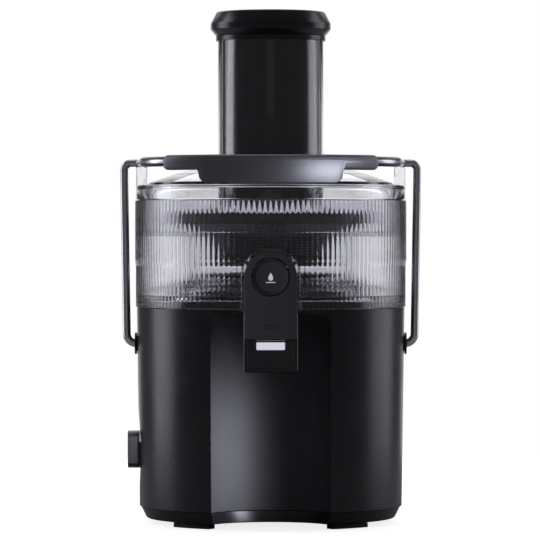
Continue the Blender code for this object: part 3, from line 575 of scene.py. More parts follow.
def make_finishes(colours):
    """One material for each finish of the juicer, kept by a short name."""
    body = tuple(colours.body)
    dark = tuple(c * 0.8 for c in body)
    graphite = tuple(colours.panel_dark), tuple(colours.panel)
    FINISHES.update(
        body=spark_textured_abs("satin_black_abs", dark, body, 0.27),
        # The bay's lighter grey is painted light: a lighter copy of the black ABS that brightens the bay's wall.
        bay=spark_textured_abs("coarse_black_abs_painted_light", linear("#323237"), linear("#3a3a3f"), 0.62),
        cover=spark_textured_abs("smooth_black_abs", dark, body, 0.24),
        inner=spark_textured_abs("inner_black_abs", dark, body, 0.42),
        grey=spark_textured_abs("grey_nylon", linear("#5a5b5e"), linear("#66676a"), 0.5),
        clear=clear_san("smoked_clear_san", tuple(colours.smoke), 0.02),
        seal=clear_san("translucent_silicone", linear("#d9d9dd"), 0.2),
        rod=drawn_stainless("polished_stainless_rod", linear("#d6d7da"), 0.24),
        steel=brushed_stainless("brushed_stainless", linear("#b9bbbf"), 0.3),
        tab=brushed_stainless("bright_brushed_stainless", linear("#f0f0f2"), 0.34, (1.0, 1.0, 0.03)),
        # The sieve's holes are near-black dots: painted shade seen through them.
        sieve=etched_sieve("etched_stainless_sieve", linear("#8f9196"), linear("#0a0a0b")),
        rubber=soft_rubber("nitrile_rubber", linear("#1b1b1c")),
        panel=metallic_lacquer("graphite_flake_lacquer", *graphite, 0.4),
        wing=metallic_lacquer("grey_flake_lacquer", linear("#7c7c82"), linear("#88888e"), 0.5),
        print=glowing_pad_print("white_ink_painted_glow", linear("#e9eaec")),
        copper=wound_copper("enamelled_copper", linear("#b4703c")),
        iron=stamped_iron("stamped_iron", linear("#6a6b6e")),
        board=solder_mask("green_solder_mask", linear("#0f4a2a")),
    )


# Finish of the nodes that stay in sight as they are, by material slot and by node.
SLOT_FINISH = {
    "black_satin": "inner",
    "clear_smoke": "clear",
    "polished_steel": "rod",
    "brushed_steel": "steel",
    "rubber": "rubber",
    "motor_iron": "iron",
    "copper": "copper",
    "circuit_board": "board",
    "grey_plastic": "grey",
}
NODE_FINISH = {"lid_seal": "seal"}


def paint_frame_nodes():
    """Every node of the frame gets the finish of its own material slot, unless it is named above."""
    for entry in frame["record"]["subparts"]:
        node = frame["nodes"][entry["node"]]
        node.data.materials.clear()
        finish = NODE_FINISH.get(entry["node"], SLOT_FINISH[entry["material_slot"]])
        node.data.materials.append(FINISHES[finish])
        node.data.shade_smooth()
        node.data.set_sharp_from_angle(angle=math.radians(30.0))


# Base


def base_outline(radius, bay_radius, columns=360, front=96):
    """Plan of the base at one height: a circle whose front is replaced by the bay's own arc. The same
    number of points lies on the bay at every height, so that rows join up."""
    outer = max(radius, TRAY_FOOT_R)
    meet_y = ((bay_radius or BAY_R) ** 2 - outer**2 - BAY_Y**2) / (-2 * BAY_Y)
    meet_x = math.sqrt(outer**2 - meet_y**2)
    edge = math.atan2(meet_x, -meet_y)
    share = np.linspace(-1.0, 1.0, front + 1)
    if bay_radius:
        spread = math.atan2(meet_x, meet_y - BAY_Y) * share
        bay = np.column_stack([bay_radius * np.sin(spread), BAY_Y + bay_radius * np.cos(spread)])
    else:
        bay = np.column_stack([radius * np.sin(edge * share), -radius * np.cos(edge * share)])
    rest = np.linspace(edge, math.tau - edge, columns - front + 1)[1:-1]
    round_part = np.column_stack([radius * np.sin(rest), -radius * np.cos(rest)])
    return np.vstack([bay, round_part])


def base_row(radius, bay_radius, z):
    plan = base_outline(radius, bay_radius)
    return upright(plan[:, 0], plan[:, 1], z)


def side_radius(z):
    """Radius of the gently tapered side at a height."""
    low_z = HOUSING_LOW[2]
    return SIDE_LOW_R + (HOUSING_HIGH[0] - SIDE_LOW_R) * (z - low_z) / (SIDE_TOP_Z - low_z)


def dome_steps(grow_r=0.0, grow_z=0.0):
    """Corners of the base's stepped dome from the deck inwards, grown by an offset."""
    points, level = [], DECK_Z
    for radius, height in DOME_STEPS:
        points += [(radius + grow_r, level + grow_z), (radius + grow_r, height + grow_z)]
        level = height
    return points


def press_dish(row):
    """Pushes a shallow round dish into the side at the knob. The floor is a paraboloid, and it meets the
    wall through a smooth maximum: half the sum plus half the root of the squared gap."""
    blend = 0.35
    x, y, z = row.T
    floor = DISH_X - DISH_CURVE * (y**2 + (z - KNOB_Z) ** 2)
    gap = x - floor
    pushed = (x + floor + np.sqrt(gap**2 + blend**2)) / 2
    near = (x < -80.0) & (floor > -110.0)
    return np.column_stack([np.where(near, pushed, x), y, z])


def housing_rows():
    """Rows of the housing from its lower edge up the side, in over the deck and its stepped dome, and
    down into the shaft's hole."""
    heights = np.concatenate([
        np.arange(HOUSING_LOW[2], 25.0, 4.0),
        np.arange(26.0, 90.0, 1.6),
        np.arange(92.0, BAY_TOP_Z - BAY_FILLET, 6.0),
    ])
    rows = [press_dish(base_row(side_radius(z), BAY_R, z)) for z in heights]
    for angle in np.radians(np.linspace(0.0, 90.0, 9)):
        z = BAY_TOP_Z - BAY_FILLET + BAY_FILLET * math.sin(angle)
        rows.append(base_row(side_radius(z), BAY_R - BAY_FILLET * (1 - math.cos(angle)), z))
    rows.append(base_row(side_radius(BAY_TOP_Z), None, BAY_TOP_Z))
    deck = [(HOUSING_HIGH[0], SIDE_TOP_Z), (DECK_R, SIDE_TOP_Z), (DECK_R, DECK_Z)]
    dome_top = DOME_STEPS[-1][1]
    hole = [(SHAFT_HOLE_R, dome_top), (SHAFT_HOLE_R, dome_top - 14.0)]
    return rows + [base_row(r, None, z) for r, z in deck + dome_steps() + hole]


def finish_bay(housing):
    """The bay's wall is moulded with a coarser grain than the outside, and is given a lighter grey than the body's
    black: painted light that brightens the bay.
    """
    mesh = housing.data
    mesh.materials.append(FINISHES["bay"])
    centre = np.empty(3 * len(mesh.polygons))
    mesh.polygons.foreach_get("center", centre)
    x, y, z = ((centre.reshape(-1, 3) - AXIS) / MM).T
    in_bay = (np.hypot(x, y - BAY_Y) < BAY_R + 0.5) & (np.hypot(x, y) < side_radius(z) - 1.0)
    mesh.polygons.foreach_set("material_index", in_bay.astype(np.int32))


def make_base():
    housing = loft(
        "base_housing", housing_rows(), "root", "body", stands_for=["motor_housing", "jug_bay_wall"],
        slot="black_satin",
    )
    finish_bay(housing)
    soften(housing, 1.1)
    side = [(101.8, TRAY_HIGH[2]), (97.7, TRAY_LOW[2] + 1.0), (96.7, TRAY_LOW[2])]
    rows = [base_row(r, BAY_R, z) for r, z in rounded(side, 1.0, closed=False)]
    tray = loft("base_bottom", rows, "root", "body", stands_for=["base_tray"], slot="black_satin")
    soften(tray, 0.6)


# Bowl


def bowl_profile():
    """Closed outline of the bowl's wall: outer side, foot, stepped floor over the dome, chimney and back."""
    top, foot, outer = BOWL_HIGH[2], BOWL_LOW[2], BOWL_HIGH[0]
    wall, foot_step = 2.6, 0.6
    floor_low, floor_high = 175.2, 177.8
    chimney_r, chimney_z = 17.0, 198.5
    under, above = dome_steps(1.2, 0.8), dome_steps(1.2 + wall, 0.8 + wall)
    return [
        (outer, top), (outer, 205.0), (outer - foot_step, 200.0), (outer - foot_step, foot),
        (outer - foot_step - wall, foot), (outer - foot_step - wall, floor_low), *under,
        (chimney_r, under[-1][1]), (chimney_r, chimney_z), (chimney_r + wall, chimney_z),
        (chimney_r + wall, above[-1][1]), *reversed(above), (outer - wall, floor_high), (outer - wall, top),
    ]


def make_bowl(sizes):
    """The bowl's outer side carries upright flutes: its radius dips by the flute depth times one less the
    size of a cosine, which gives round ribs with sharp valleys. They fade out round the back."""
    columns = sizes.flutes * 6
    grid = turn(rounded(bowl_profile(), 0.9, 3), columns)
    radius = np.hypot(grid[..., 0], grid[..., 1])
    angle = np.arange(columns) * math.tau / columns
    rib = sizes.flute_depth / MM * (1 - np.abs(np.cos(angle * sizes.flutes / 2)))
    rib *= smooth_step((0.45 - np.sin(angle)) / 0.5)
    on_side = radius > BOWL_HIGH[0] - 1.0
    fade = smooth_step((grid[..., 2] - BOWL_LOW[2]) / 1.5) * smooth_step((BOWL_HIGH[2] - grid[..., 2]) / 1.5)
    scale = 1 - np.where(on_side, rib * fade, 0.0) / radius
    grid[..., 0] *= scale
    grid[..., 1] *= scale
    bowl = loft("fluted_bowl", grid, "root", "clear", ring=True, stands_for=["juice_bowl"], slot="clear_smoke")
    cut_out(bowl, straight(box_outline(-12.0, 179.0, 12.0, 198.0, 4.0), -115.0, -98.0))


# Lid and feed tube


def make_lid():
    """One clear moulding: a turned lid, joined to its two ears and to the hood over the pulp bin."""
    edge_z, low_z, wall = 264.0, 252.8, 2.4
    rim_r = (LID_HIGH[0] - LID_LOW[0]) / 2
    skirt_r, skirt_z = 103.2, 227.0
    dome = [(41.9, 286.0), (57.0, 278.2), (76.0, 272.8), (95.0, 266.2)]
    profile = [
        *dome, (97.0, edge_z), (rim_r, edge_z), (rim_r, low_z), (skirt_r, low_z), (skirt_r, skirt_z),
        (skirt_r - wall, skirt_z), (skirt_r - wall, edge_z - wall), *[(r, z - wall) for r, z in reversed(dome)],
    ]
    radii = [0.6, 20.0, 20.0, 3.0, 1.0, 1.4, 0.4, 0.4, 0.8, 0.8, 2.0, 2.0, 20.0, 20.0, 0.6]
    lid = lathe("lid_moulding", profile, "root", "clear", radii, 200, stands_for=["lid"], slot="clear_smoke")
    for side in (-1, 1):
        finish_with(lid, make_ear(side), "UNION")
    finish_with(lid, make_hood(edge_z, low_z, wall), "UNION")
    cut_out(lid, straight(box_outline(-66.0, 253.6, 66.0, 261.6, 2.0), 60.0, 128.0))


def make_ear(side):
    """A lug under the arm's rod, with a lip behind the rod. Two three-cornered pockets in its back leave a
    slanting rib between its outer top and its inner foot."""
    low_z, rest_z, lip_z = 262.0, ROD_HIGH[2] - 2 * ROD_R - 0.35, ROD_HIGH[2] - 2.15
    outline = [(-5.0, low_z), (-5.0, rest_z), (3.8, rest_z), (3.8, lip_z), (6.4, lip_z), (9.0, low_z)]
    rows = plate(rounded(outline, 0.8), side * 96.8, side * 105.4, side * 0.7, facing_side)
    ear = loft("ear", rows, "root", "clear")
    for corners in (
        [(104.4, 264.8), (104.4, 273.2), (99.6, 264.8)],
        [(97.8, rest_z - 1.0), (97.8, 269.4), (102.9, rest_z - 1.0)],
    ):
        cut_out(ear, straight(rounded([(side * x, z) for x, z in corners], 0.5), -3.6, 12.0))
    return ear


def make_hood(edge_z, low_z, wall):
    """A round box behind the lid, open below, with a room cut out of it for the bowl and the lid."""
    radius, under, open_z = 100.0, 226.6, 210.0
    outer = [(0.02, edge_z), (radius, edge_z), (radius, under), (0.02, under)]
    inner = [(0.02, edge_z - wall), (radius - wall, edge_z - wall), (radius - wall, open_z), (0.02, open_z)]
    rows = [
        turn(rounded(profile, radii, closed=False)) + [0, HOOD_CENTRE_Y, 0]
        for profile, radii in ((outer, [0, 4.0, 0.6, 0]), (inner, [0, 2.0, 0, 0]))
    ]
    hood = loft("hood", rows[0], "root", "clear")
    cut_out(hood, rows[1])
    for reach, top in ((107.5, low_z - 0.2), (104.4, edge_z + 20.0)):
        cut_out(hood, drum(reach, top, 200.0))
    return hood


def drum(radius, top, low):
    return turn([(0.02, top), (radius, top), (radius, low), (0.02, low)], 200)


def make_feed_tube():
    """A clear tube with a dark collar round its top."""
    top, low = TUBE_HIGH[2], TUBE_LOW[2]
    outer, bore, collar_z = 41.4, 38.4, TUBE_HIGH[2] - 4.0
    lathe("feed_chute", [(outer, top), (outer, low), (bore, low), (bore, top)], "root", "clear", 0.7,
          stands_for=["feed_tube"], slot="clear_smoke")
    collar = [(TUBE_HIGH[0], top), (TUBE_HIGH[0], collar_z), (outer + 0.1, collar_z), (outer + 0.1, top)]
    lathe("chute_collar", collar, "root", "cover", 0.4)


# Pusher


def make_pusher():
    low, high = PUSHER_LOW[2], PUSHER_HIGH[2]
    radius = PUSHER_HIGH[0]
    bore, floor = radius - 2.5, low + 3.0
    cup = [(radius, high), (radius, low), (0.02, low), (0.02, floor), (bore, floor), (bore, high)]
    lathe("pusher_cup", cup, "pusher", "cover", [0.4, 3.0, 0, 0, 1.0, 0.4], 128,
          stands_for=["pusher_body"], slot="black_satin")
    top, under = CAP_HIGH[2], TUBE_HIGH[2] + 0.4
    wide = CAP_HIGH[0]
    cap = [
        (0.02, top - 0.6), (36.5, top - 0.6), (37.5, top), (42.2, top), (wide, top - 9.3), (wide, top - 14.0),
        (43.2, under), (35.1, under), (35.1, under - 7.0), (32.9, under - 7.0), (32.9, top - 3.0),
        (0.02, top - 3.0),
    ]
    radii = [0, 0.5, 0.8, 2.2, 3.0, 1.6, 0.8, 0.3, 0.6, 0.6, 1.0, 0]
    lathe("pusher_knob", cap, "pusher", "cover", radii, stands_for=["pusher_cap"], slot="black_satin")


# Basket


def make_basket():
    """The sieve cone, its rim, the hub under it and the grater, whose teeth are humps in rings: the height
    rises by the product of two sines, one round the disc and one along its radius."""
    lathe("sieve_cone", [(67.5, 237.7), (45.4, 203.6), (44.2, 203.6), (66.3, 237.7)], "spinner", "sieve",
          0.3, stands_for=["filter_basket"], slot="brushed_steel")
    rim = [(77.5, 242.3), (77.5, 233.7), (65.4, 233.7), (68.3, 238.2), (66.6, 238.2), (69.1, 242.3)]
    lathe("sieve_rim", rim, "spinner", "inner", stands_for=["basket_rim"], slot="black_satin")
    hub = [
        (0.02, 203.2), (47.0, 203.2), (47.0, 200.2), (12.5, 200.2), (12.5, 188.6), (7.4, 188.6), (7.4, 197.4),
        (0.02, 197.4),
    ]
    lathe("sieve_hub", hub, "spinner", "inner", [0, 1.0, 1.0, 2.0, 0.8, 0.5, 0.5, 0], 128,
          stands_for=["basket_hub"], slot="black_satin")
    radii = np.linspace(9.0, 40.0, 63)
    profile = np.vstack([[(0.02, 205.6)], np.column_stack([radii, np.full_like(radii, 205.2)]),
                         [(43.6, 205.0), (43.6, 203.7), (0.02, 203.7)]])
    grid = turn(profile, 240)
    angle = np.arange(240) * math.tau / 240
    reach = (profile[:, :1] - 9.0) / 31.0
    on_top = (reach > 0) & (reach < 1) & (profile[:, 1:2] > 204.5)
    tooth = np.sin(angle * 20 + 9.0 * reach) * np.sin(reach * math.pi * 10)
    grid[..., 2] += np.where(on_top, np.clip(tooth, 0.0, 1.0) * 1.4, 0.0)
    loft("grater_plate", grid, "spinner", "steel", stands_for=["grater_disc"], slot="brushed_steel")


# Spout


def arch(half, low, steps=40):
    """A door-shaped outline: straight sides and a round top about the button's centre."""
    corners = rounded([(-half, SPOUT_Z), (-half, low), (half, low), (half, SPOUT_Z)], [0, 2.0, 2.0, 0], closed=False)
    return np.vstack([corners, arc((0.0, SPOUT_Z), half, 0.0, 180.0, steps)[1:-1]])


def pill(half_x, half_z, z):
    return box_outline(-half_x, z - half_z, half_x, z + half_z, half_z * 0.98, 8)


BUTTON_WINDOW_R = 14.9
LENS_Z = 156.0
NOZZLE_PANEL = (-17.6, 124.0, 17.6, 160.0)


def make_spout():
    face_y, back_y = COVER_LOW[1], COVER_HIGH[1]
    half, low_z, wall = CHANNEL_HIGH[0], CHANNEL_LOW[2], 2.4
    channel = loft("spout_moulding", plate(arch(half, low_z), CHANNEL_LOW[1], -98.0, 1.0), "root", "clear",
                   stands_for=["spout_channel"], slot="clear_smoke")
    cut_out(
        channel,
        straight(arch(half - wall, low_z + wall), -140.0, -95.0),
        drum(107.0, 280.0, 120.0),
        straight(box_outline(-12.0, -119.0, 12.0, -109.5, 2.0), 160.0, 172.0, upright),
    )
    cover = loft("spout_front", plate(arch(COVER_HIGH[0], COVER_LOW[2]), face_y, back_y, 0.9), "root", "cover",
                 stands_for=["spout_cover"], slot="black_satin")
    cut_out(
        cover,
        straight(circle(BUTTON_WINDOW_R, 96) + [0.0, SPOUT_Z], -140.0, -110.0),
        straight(pill(5.35, 1.9, LENS_Z), -140.0, face_y + 1.6),
    )
    flatten(cover)
    flatten(loft("cover_lens", plate(pill(4.6, 1.2, LENS_Z), face_y + 0.25, face_y + 1.55, 0.3), "root", "cover"))
    make_nozzle()
    make_gate_frame()
    make_gate()
    make_button()


def make_nozzle():
    low, high = NOZZLE_LOW, NOZZLE_HIGH
    rows = plate(box_outline(low[0], low[1], high[0], high[1], 2.0, 5), low[2], high[2], 1.6, upright)
    body = loft("nozzle_block", rows, "root", "body", stands_for=["nozzle"], slot="black_satin")
    cut_out(
        body,
        straight(box_outline(-12.0, -119.0, 12.0, -109.0, 2.5), 100.0, 190.0, upright),
        straight(box_outline(*NOZZLE_PANEL, 1.6), low[1] - 5.0, low[1] + 0.6),
    )
    flatten(body)


def make_gate_frame():
    """A thin frame in front of the steel tab, with a window for it, and the two catches of the channel."""
    half, low, high = GATE_HIGH[0], GATE_LOW[2], COVER_LOW[2] - 0.3
    face = GATE_LOW[1] - 1.4
    outline = box_outline(-17.6, 124.4, 17.6, high, [1.4, 1.4, 0.2, 0.2])
    frame_plate = loft("gate_frame", plate(outline, face, face + 1.2, 0.3), "root", "body")
    cut_out(frame_plate, straight(box_outline(-half, low + 0.4, half, high - 1.2, 0.4), face - 4.0, face + 4.0))
    flatten(frame_plate)
    catch = [(20.3, 169.6), (23.3, 169.6), (23.3, 173.6), (21.8, 175.4), (20.3, 173.6)]
    for side, word in ((-1, "left"), (1, "right")):
        outline = rounded([(side * x, z) for x, z in catch], 0.3)
        loft(f"channel_catch_{word}", plate(outline, -124.8, -123.2, 0.3), "root", "wing")


def make_gate():
    low, high = GATE_LOW, GATE_HIGH
    rows = plate(box_outline(low[0], low[2], high[0], high[2], 1.4, 5), low[1], high[1], 0.3)
    flatten(loft("gate_tab", rows, "drip_gate", "tab", stands_for=["drip_stop_gate"], slot="brushed_steel"))


def make_button():
    """A round button with a shallow dish in its face, and a raised print of a drop over a line."""
    face = BUTTON_LOW[1] + 0.25
    radius = BUTTON_WINDOW_R - 0.55
    depth = BUTTON_HIGH[1] - face
    profile = rounded(
        [(0.02, 0.5), (radius - 3.0, 0.35), (radius - 1.0, 0.0), (radius, 0.9), (radius, 3.75), (4.0, 3.75),
         (4.0, depth), (0.02, depth)],
        [0, 6.0, 0.5, 0.6, 0.5, 0.8, 0.5, 0], closed=False,
    )
    rows = turn(profile, 128)
    placed = np.stack([rows[..., 0], face + rows[..., 2], SPOUT_Z + rows[..., 1]], -1)
    loft("drip_button_face", placed, "drip_button", "cover", stands_for=["drip_stop_button"],
         slot="black_satin")
    t = np.linspace(0.0, math.tau, 49)[:-1]
    width = 2.55 * np.sin(t) * np.sin(t / 2) ** 1.4
    drop = np.column_stack([width, SPOUT_Z + 0.3 + 3.1 * np.cos(t)])
    for name, outline in (("drop_mark", drop), ("line_mark", pill(3.6, 0.33, SPOUT_Z - 4.1))):
        loft(name, straight(outline, face + 0.28, face + 0.46), "drip_button", "print")


# Lock arm


def rod_path(side):
    """The rod's centreline: pivot stub, leaning leg, bend over the lid's ear, side run and front curve."""
    foot_x, head_x = 112.8, ROD_HIGH[0] - ROD_R
    top_z = ROD_HIGH[2] - ROD_R
    middle_r = (GRIP_INNER_R + GRIP_OUTER_R) / 2
    corners = [
        (side * 93.0, 0.0, ARM_Z), (side * foot_x, 0.0, ARM_Z), (side * head_x, 0.0, top_z),
        (side * 101.0, 0.0, top_z), (side * 101.0, -26.0, top_z),
    ]
    start = rounded(corners, [0, 7.5, 5.5, 7.0, 0], 12, closed=False)
    end_angle = math.asin(GRIP_END_X / GRIP_OUTER_R)
    front = [
        np.array([side * middle_r * math.sin(a), -middle_r * math.cos(a), top_z])
        for a in (end_angle + 1.0 / middle_r, end_angle - 10.0 / middle_r)
    ]
    heading = (front[1] - front[0]) / np.linalg.norm(front[1] - front[0])
    knee = front[0] - heading * 24.0
    t = np.linspace(0.0, 1.0, 21)[1:, None]
    curve = start[-1] * (1 - t) ** 2 + knee * 2 * t * (1 - t) + front[0] * t**2
    return np.vstack([densify(start), curve, front[1][None, :]])


def densify(points, step=8.0):
    """Adds even points on the long straight runs, so that the frame turns smoothly along them."""
    result = [points[0]]
    for before, after in zip(points, points[1:]):
        count = max(1, int(np.linalg.norm(after - before) / step))
        result += [before + (after - before) * (k + 1) / count for k in range(count)]
    return np.array(result)


def make_rods():
    for side, word in ((-1, "left"), (1, "right")):
        path = rod_path(side)
        loft(f"arm_wire_{word}", sweep(path, circle(3.12, 28), (0.0, 1.0, 0.0)), "lock_arm", "rod",
             stands_for=[f"arm_rod_{word}"], slot="polished_steel")
        make_sleeve(side, word, path)


def make_sleeve(side, word, path):
    """A black collar that runs from the grip over the rod's front curve, slotted so that a line of the
    rod shows: a C-shaped section carried along the last part of the rod's path."""
    on_curve = path[(path[:, 1] < -40.0) & (np.abs(path[:, 0]) < 98.2)]
    start = math.radians(28.0)
    around = np.linspace(start, math.tau - start, 33)
    ring = np.column_stack([np.cos(around), np.sin(around)])
    section = np.vstack([ring * 3.85, ring[::-1] * 3.2])
    section[:, 0] *= -side
    loft(f"grip_neck_{word}", sweep(on_curve, section), "lock_arm", "cover")


def band(name, stations, section, finish, **more):
    """A band along the front arc: at each station across the juicer, a closed section of (radius, height)
    points is set at the angle whose sine is the distance from the middle over the outer radius."""
    rows = []
    for x in stations:
        angle = math.asin(x / GRIP_OUTER_R)
        radius, z = section(x).T
        rows.append(np.column_stack([radius * math.sin(angle), -radius * math.cos(angle), z]))
    return loft(name, rows, "lock_arm", finish, **more)


GRIP_INNER_R = 107.2
GRIP_OUTER_R = 116.0
GRIP_END_X = 84.0
GRIP_END_R = 3.4
GRIP_PLATE_Z = GRIP_LOW[2]
GRIP_BAR_Z = GRIP_HIGH[2] - 12.1
PLATE_HALF = 55.0
PLATE_CORNER = 6.5


def grip_edge(x):
    """Lower edge of the grip: a deep plate with round lower corners, then a slim bar."""
    x = abs(x)
    if x <= PLATE_HALF - PLATE_CORNER:
        return GRIP_PLATE_Z
    if x <= PLATE_HALF:
        reach = x - PLATE_HALF + PLATE_CORNER
        return GRIP_PLATE_Z + PLATE_CORNER - math.sqrt(PLATE_CORNER**2 - reach**2)
    shoulder = GRIP_PLATE_Z + PLATE_CORNER
    return shoulder + (GRIP_BAR_Z - shoulder) * float(smooth_step((x - PLATE_HALF) / 3.0))


def grip_marks(end=None):
    """Stations across the grip, close together at its round corners. With an end, the marks go on to it
    and crowd where it is rounded; without one they stop where the plate does."""
    quarter = np.sin(np.linspace(0.0, math.pi / 2, 13))[1:]
    half = [np.linspace(0.0, PLATE_HALF - PLATE_CORNER, 17), PLATE_HALF - PLATE_CORNER + PLATE_CORNER * quarter,
            np.linspace(PLATE_HALF, PLATE_HALF + 3.0, 10)[1:]]
    if end:
        half += [np.linspace(PLATE_HALF + 3.0, end - GRIP_END_R, 10)[1:], end - GRIP_END_R + GRIP_END_R * quarter]
    half = np.concatenate(half)
    return np.concatenate([-half[:0:-1], half])


def make_grip():
    """The bar's section is a rounded box whose lower edge follows the plate. Towards each end the section
    shrinks by one radius less the root of its square less the squared reach, as a ball does."""
    top = GRIP_HIGH[2]

    def section(x):
        over = max(abs(x) - (GRIP_END_X - GRIP_END_R), 0.0)
        tuck = GRIP_END_R - math.sqrt(max(GRIP_END_R**2 - over**2, 0.0))
        low = grip_edge(x) + 0.5 + tuck
        high = top - tuck * 0.8
        front = GRIP_OUTER_R - 1.3 - tuck * 0.6
        back = GRIP_INNER_R + tuck * 0.6
        corners = [(back, low), (front, low), (front + 1.0, high - 5.5), (front, high), (back, high)]
        return rounded(corners, [1.4, 2.6, 4.0, 3.4, 2.4], 5)

    band("grip_bar", grip_marks(GRIP_END_X), section, "panel", stands_for=["arm_grip"], slot="black_satin")


def make_grip_plate():
    """The lacquered plate on the front of the grip: round lower corners, and sides that flare at the top."""
    top = GRIP_HIGH[2] - 3.6

    def section(x):
        over = max(abs(x) - PLATE_HALF, 0.0)
        low = grip_edge(min(abs(x), PLATE_HALF)) + (over / 3.0) ** 0.7 * (top - GRIP_PLATE_Z - PLATE_CORNER - 1.0)
        corners = [(GRIP_OUTER_R - 1.6, low), (GRIP_OUTER_R, low), (GRIP_OUTER_R, top), (GRIP_OUTER_R - 1.6, top)]
        return rounded(corners, [0.3, 0.6, 0.5, 0.3], 3)

    band("grip_plate", grip_marks(), section, "panel", stands_for=["grip_panel"], slot="black_satin")


# Knob


def make_knob():
    """A round knob with two flats: a circle cut off at its front and back, on a thin disc. Each flat
    carries a grey plate."""
    radius = KNOB_HIGH[2] - KNOB_Z - 0.05
    face, back = KNOB_LOW[0], KNOB_HIGH[0]
    flat = 9.6
    half = math.degrees(math.asin(flat / radius))
    caps = [arc((0.0, KNOB_Z), radius, middle - half, middle + half, 16) for middle in (90.0, 270.0)]
    bends = [0.5] + [0] * 15 + [0.5]
    body = plate(rounded(np.vstack(caps), bends + bends), face, back - 1.2, 0.5, facing_side)
    skirt = plate(circle(radius, 96) + [0.0, KNOB_Z], back - 1.6, back, 0.4, facing_side)
    wide, high = flat + 0.3, math.sqrt(radius**2 - flat**2) - 0.2
    outline = box_outline(-wide, KNOB_Z - high, wide, KNOB_Z + high, 0.4)
    wing = plate(outline, face + 0.3, back - 2.0, 0.3, facing_side)
    pointer = straight(box_outline(-0.7, KNOB_Z + 5.0, 0.7, KNOB_Z + 12.0, 0.6), face, face + 0.3, facing_side)
    loft("knob_grip", body, "speed_control", "cover", stands_for=["speed_knob"], slot="black_satin")
    loft("knob_skirt", skirt, "speed_control", "cover")
    loft("knob_wing", wing, "speed_control", "wing")
    loft("knob_pointer", pointer, "speed_control", "print")
    make_speed_mark()


def make_speed_mark():
    """A printed wedge round the knob that widens with speed. It follows the dish's paraboloid."""
    angle = np.radians(np.linspace(96.0, 20.0, 40))
    grow = np.linspace(0.5, 2.6, 40)
    inner, outer = np.full(40, 19.0), 19.0 + grow
    rows = []
    for lift in (0.12, -0.3):
        for radii in ((inner, outer) if lift > 0 else (outer, inner)):
            y, z = -radii * np.cos(angle), KNOB_Z + radii * np.sin(angle)
            x = DISH_X - DISH_CURVE * radii**2 - lift
            rows.append(np.column_stack([x, y, z]))
    grid = np.stack(rows, 1)
    loft("speed_wedge", grid, "root", "print")


# Pulp bin


def bin_outline():
    """Plan of the bin: the hood's circle behind, an arc that clears the bowl in front, and flat sides."""
    half, back_r, front_r = BIN_HIGH[0], 98.0, 108.5
    back = math.degrees(math.acos(half / back_r))
    front = math.degrees(math.acos(half / front_r))
    behind = arc((0.0, HOOD_CENTRE_Y), back_r, back, 180.0 - back, 60)
    before = arc((0.0, 0.0), front_r, 180.0 - front, front, 40)
    radii = [4.0] + [0] * (len(behind) - 2) + [4.0, 4.0] + [0] * (len(before) - 2) + [4.0]
    return rounded(np.vstack([behind, before]), radii, 4)


def make_bin():
    """A thin clear wall up to a rolled rim, and down again inside to the floor."""
    top, wall = BIN_HIGH[2], 2.0
    levels = [(1.6, 0.0), (0.5, 0.5), (0.0, 1.8), (0.0, 60.0), (0.0, 140.0), (0.0, top - 0.7), (0.5, top),
              (wall - 0.5, top), (wall, top - 0.7), (wall, 140.0), (wall, 60.0), (wall, 4.4), (wall + 1.0, 2.6)]
    rows = stack(bin_outline(), levels, upright)
    loft("pulp_box", rows, "pulp_drawer", "clear", stands_for=["pulp_bin"], slot="clear_smoke")


# Stage


EYE = (-0.55, -3140.0, 229.0)
AIM = (-0.55, 0.0, 197.6)
SCENE_WIDTH = 423.9


def make_camera():
    camera = bpy.data.cameras.new("camera")
    camera.lens = 36.0 * -EYE[1] / SCENE_WIDTH
    camera.clip_end = 50.0
    place = bpy.data.objects.new("camera", camera)
    bpy.context.scene.collection.objects.link(place)
    place.location = np.array(EYE) * MM + AXIS
    tilt = math.atan2(EYE[2] - AIM[2], AIM[1] - EYE[1])
    place.rotation_euler = (math.pi / 2 - tilt, 0.0, 0.0)
    bpy.context.scene.camera = place


COOL_LIGHT = (0.90, 0.91, 1.0)


def new_light(name, width, height, glow):
    """An area light whose power is worked out from the glow of its face: glow times pi times its area."""
    lamp = bpy.data.lights.new(name, "AREA")
    lamp.shape = "RECTANGLE"
    lamp.size = width
    lamp.size_y = height
    lamp.energy = glow * math.pi * width * height
    lamp.color = COOL_LIGHT
    place = bpy.data.objects.new(name, lamp)
    bpy.context.scene.collection.objects.link(place)
    return place


def softbox(name, bearing_deg, distance, width, height, lift, glow, reach=()):
    """An upright soft light that faces the juicer. Its bearing is counted from the front towards +X. With a
    reach, it lights the named pieces alone."""
    place = new_light(name, width, height, glow)
    bearing = math.radians(bearing_deg)
    place.location = (distance * math.sin(bearing), -distance * math.cos(bearing) + AXIS[1], lift)
    aim = np.array([0.0, AXIS[1], 0.18]) - np.array(place.location)
    flat = math.hypot(aim[0], aim[1])
    place.rotation_euler = (math.pi / 2 + math.atan2(aim[2], flat), 0.0, math.atan2(aim[1], aim[0]) - math.pi / 2)
    if reach:
        light_only(place, reach)


def light_only(place, names):
    """Flags off a light, as a studio does with black cards, so that it reaches the named pieces alone."""
    lit = bpy.data.collections.new(f"{place.name}_reach")
    for name in names:
        lit.objects.link(bpy.data.objects[name])
    place.light_linking.receiver_collection = lit


def bay_strip():
    """A slim upright light at the bay's right lip, which faces the bay's left wall."""
    near, far = np.array([43.5, -100.0]), np.array([38.0, -135.0])
    low_z, high_z = 4.0, 104.0
    along, middle = near - far, (near + far) / 2
    place = new_light("bay_strip", float(np.linalg.norm(along)) * MM, (high_z - low_z) * MM, 7.5)
    place.data.spread = math.radians(95.0)
    place.location = np.array([middle[0], middle[1], (low_z + high_z) / 2]) * MM + AXIS
    place.rotation_euler = (math.pi / 2, 0.0, math.atan2(along[0], -along[1]) - math.pi / 2)
    place.visible_camera = False
    place.visible_transmission = False
    light_only(place, ("base_housing", "base_bottom"))


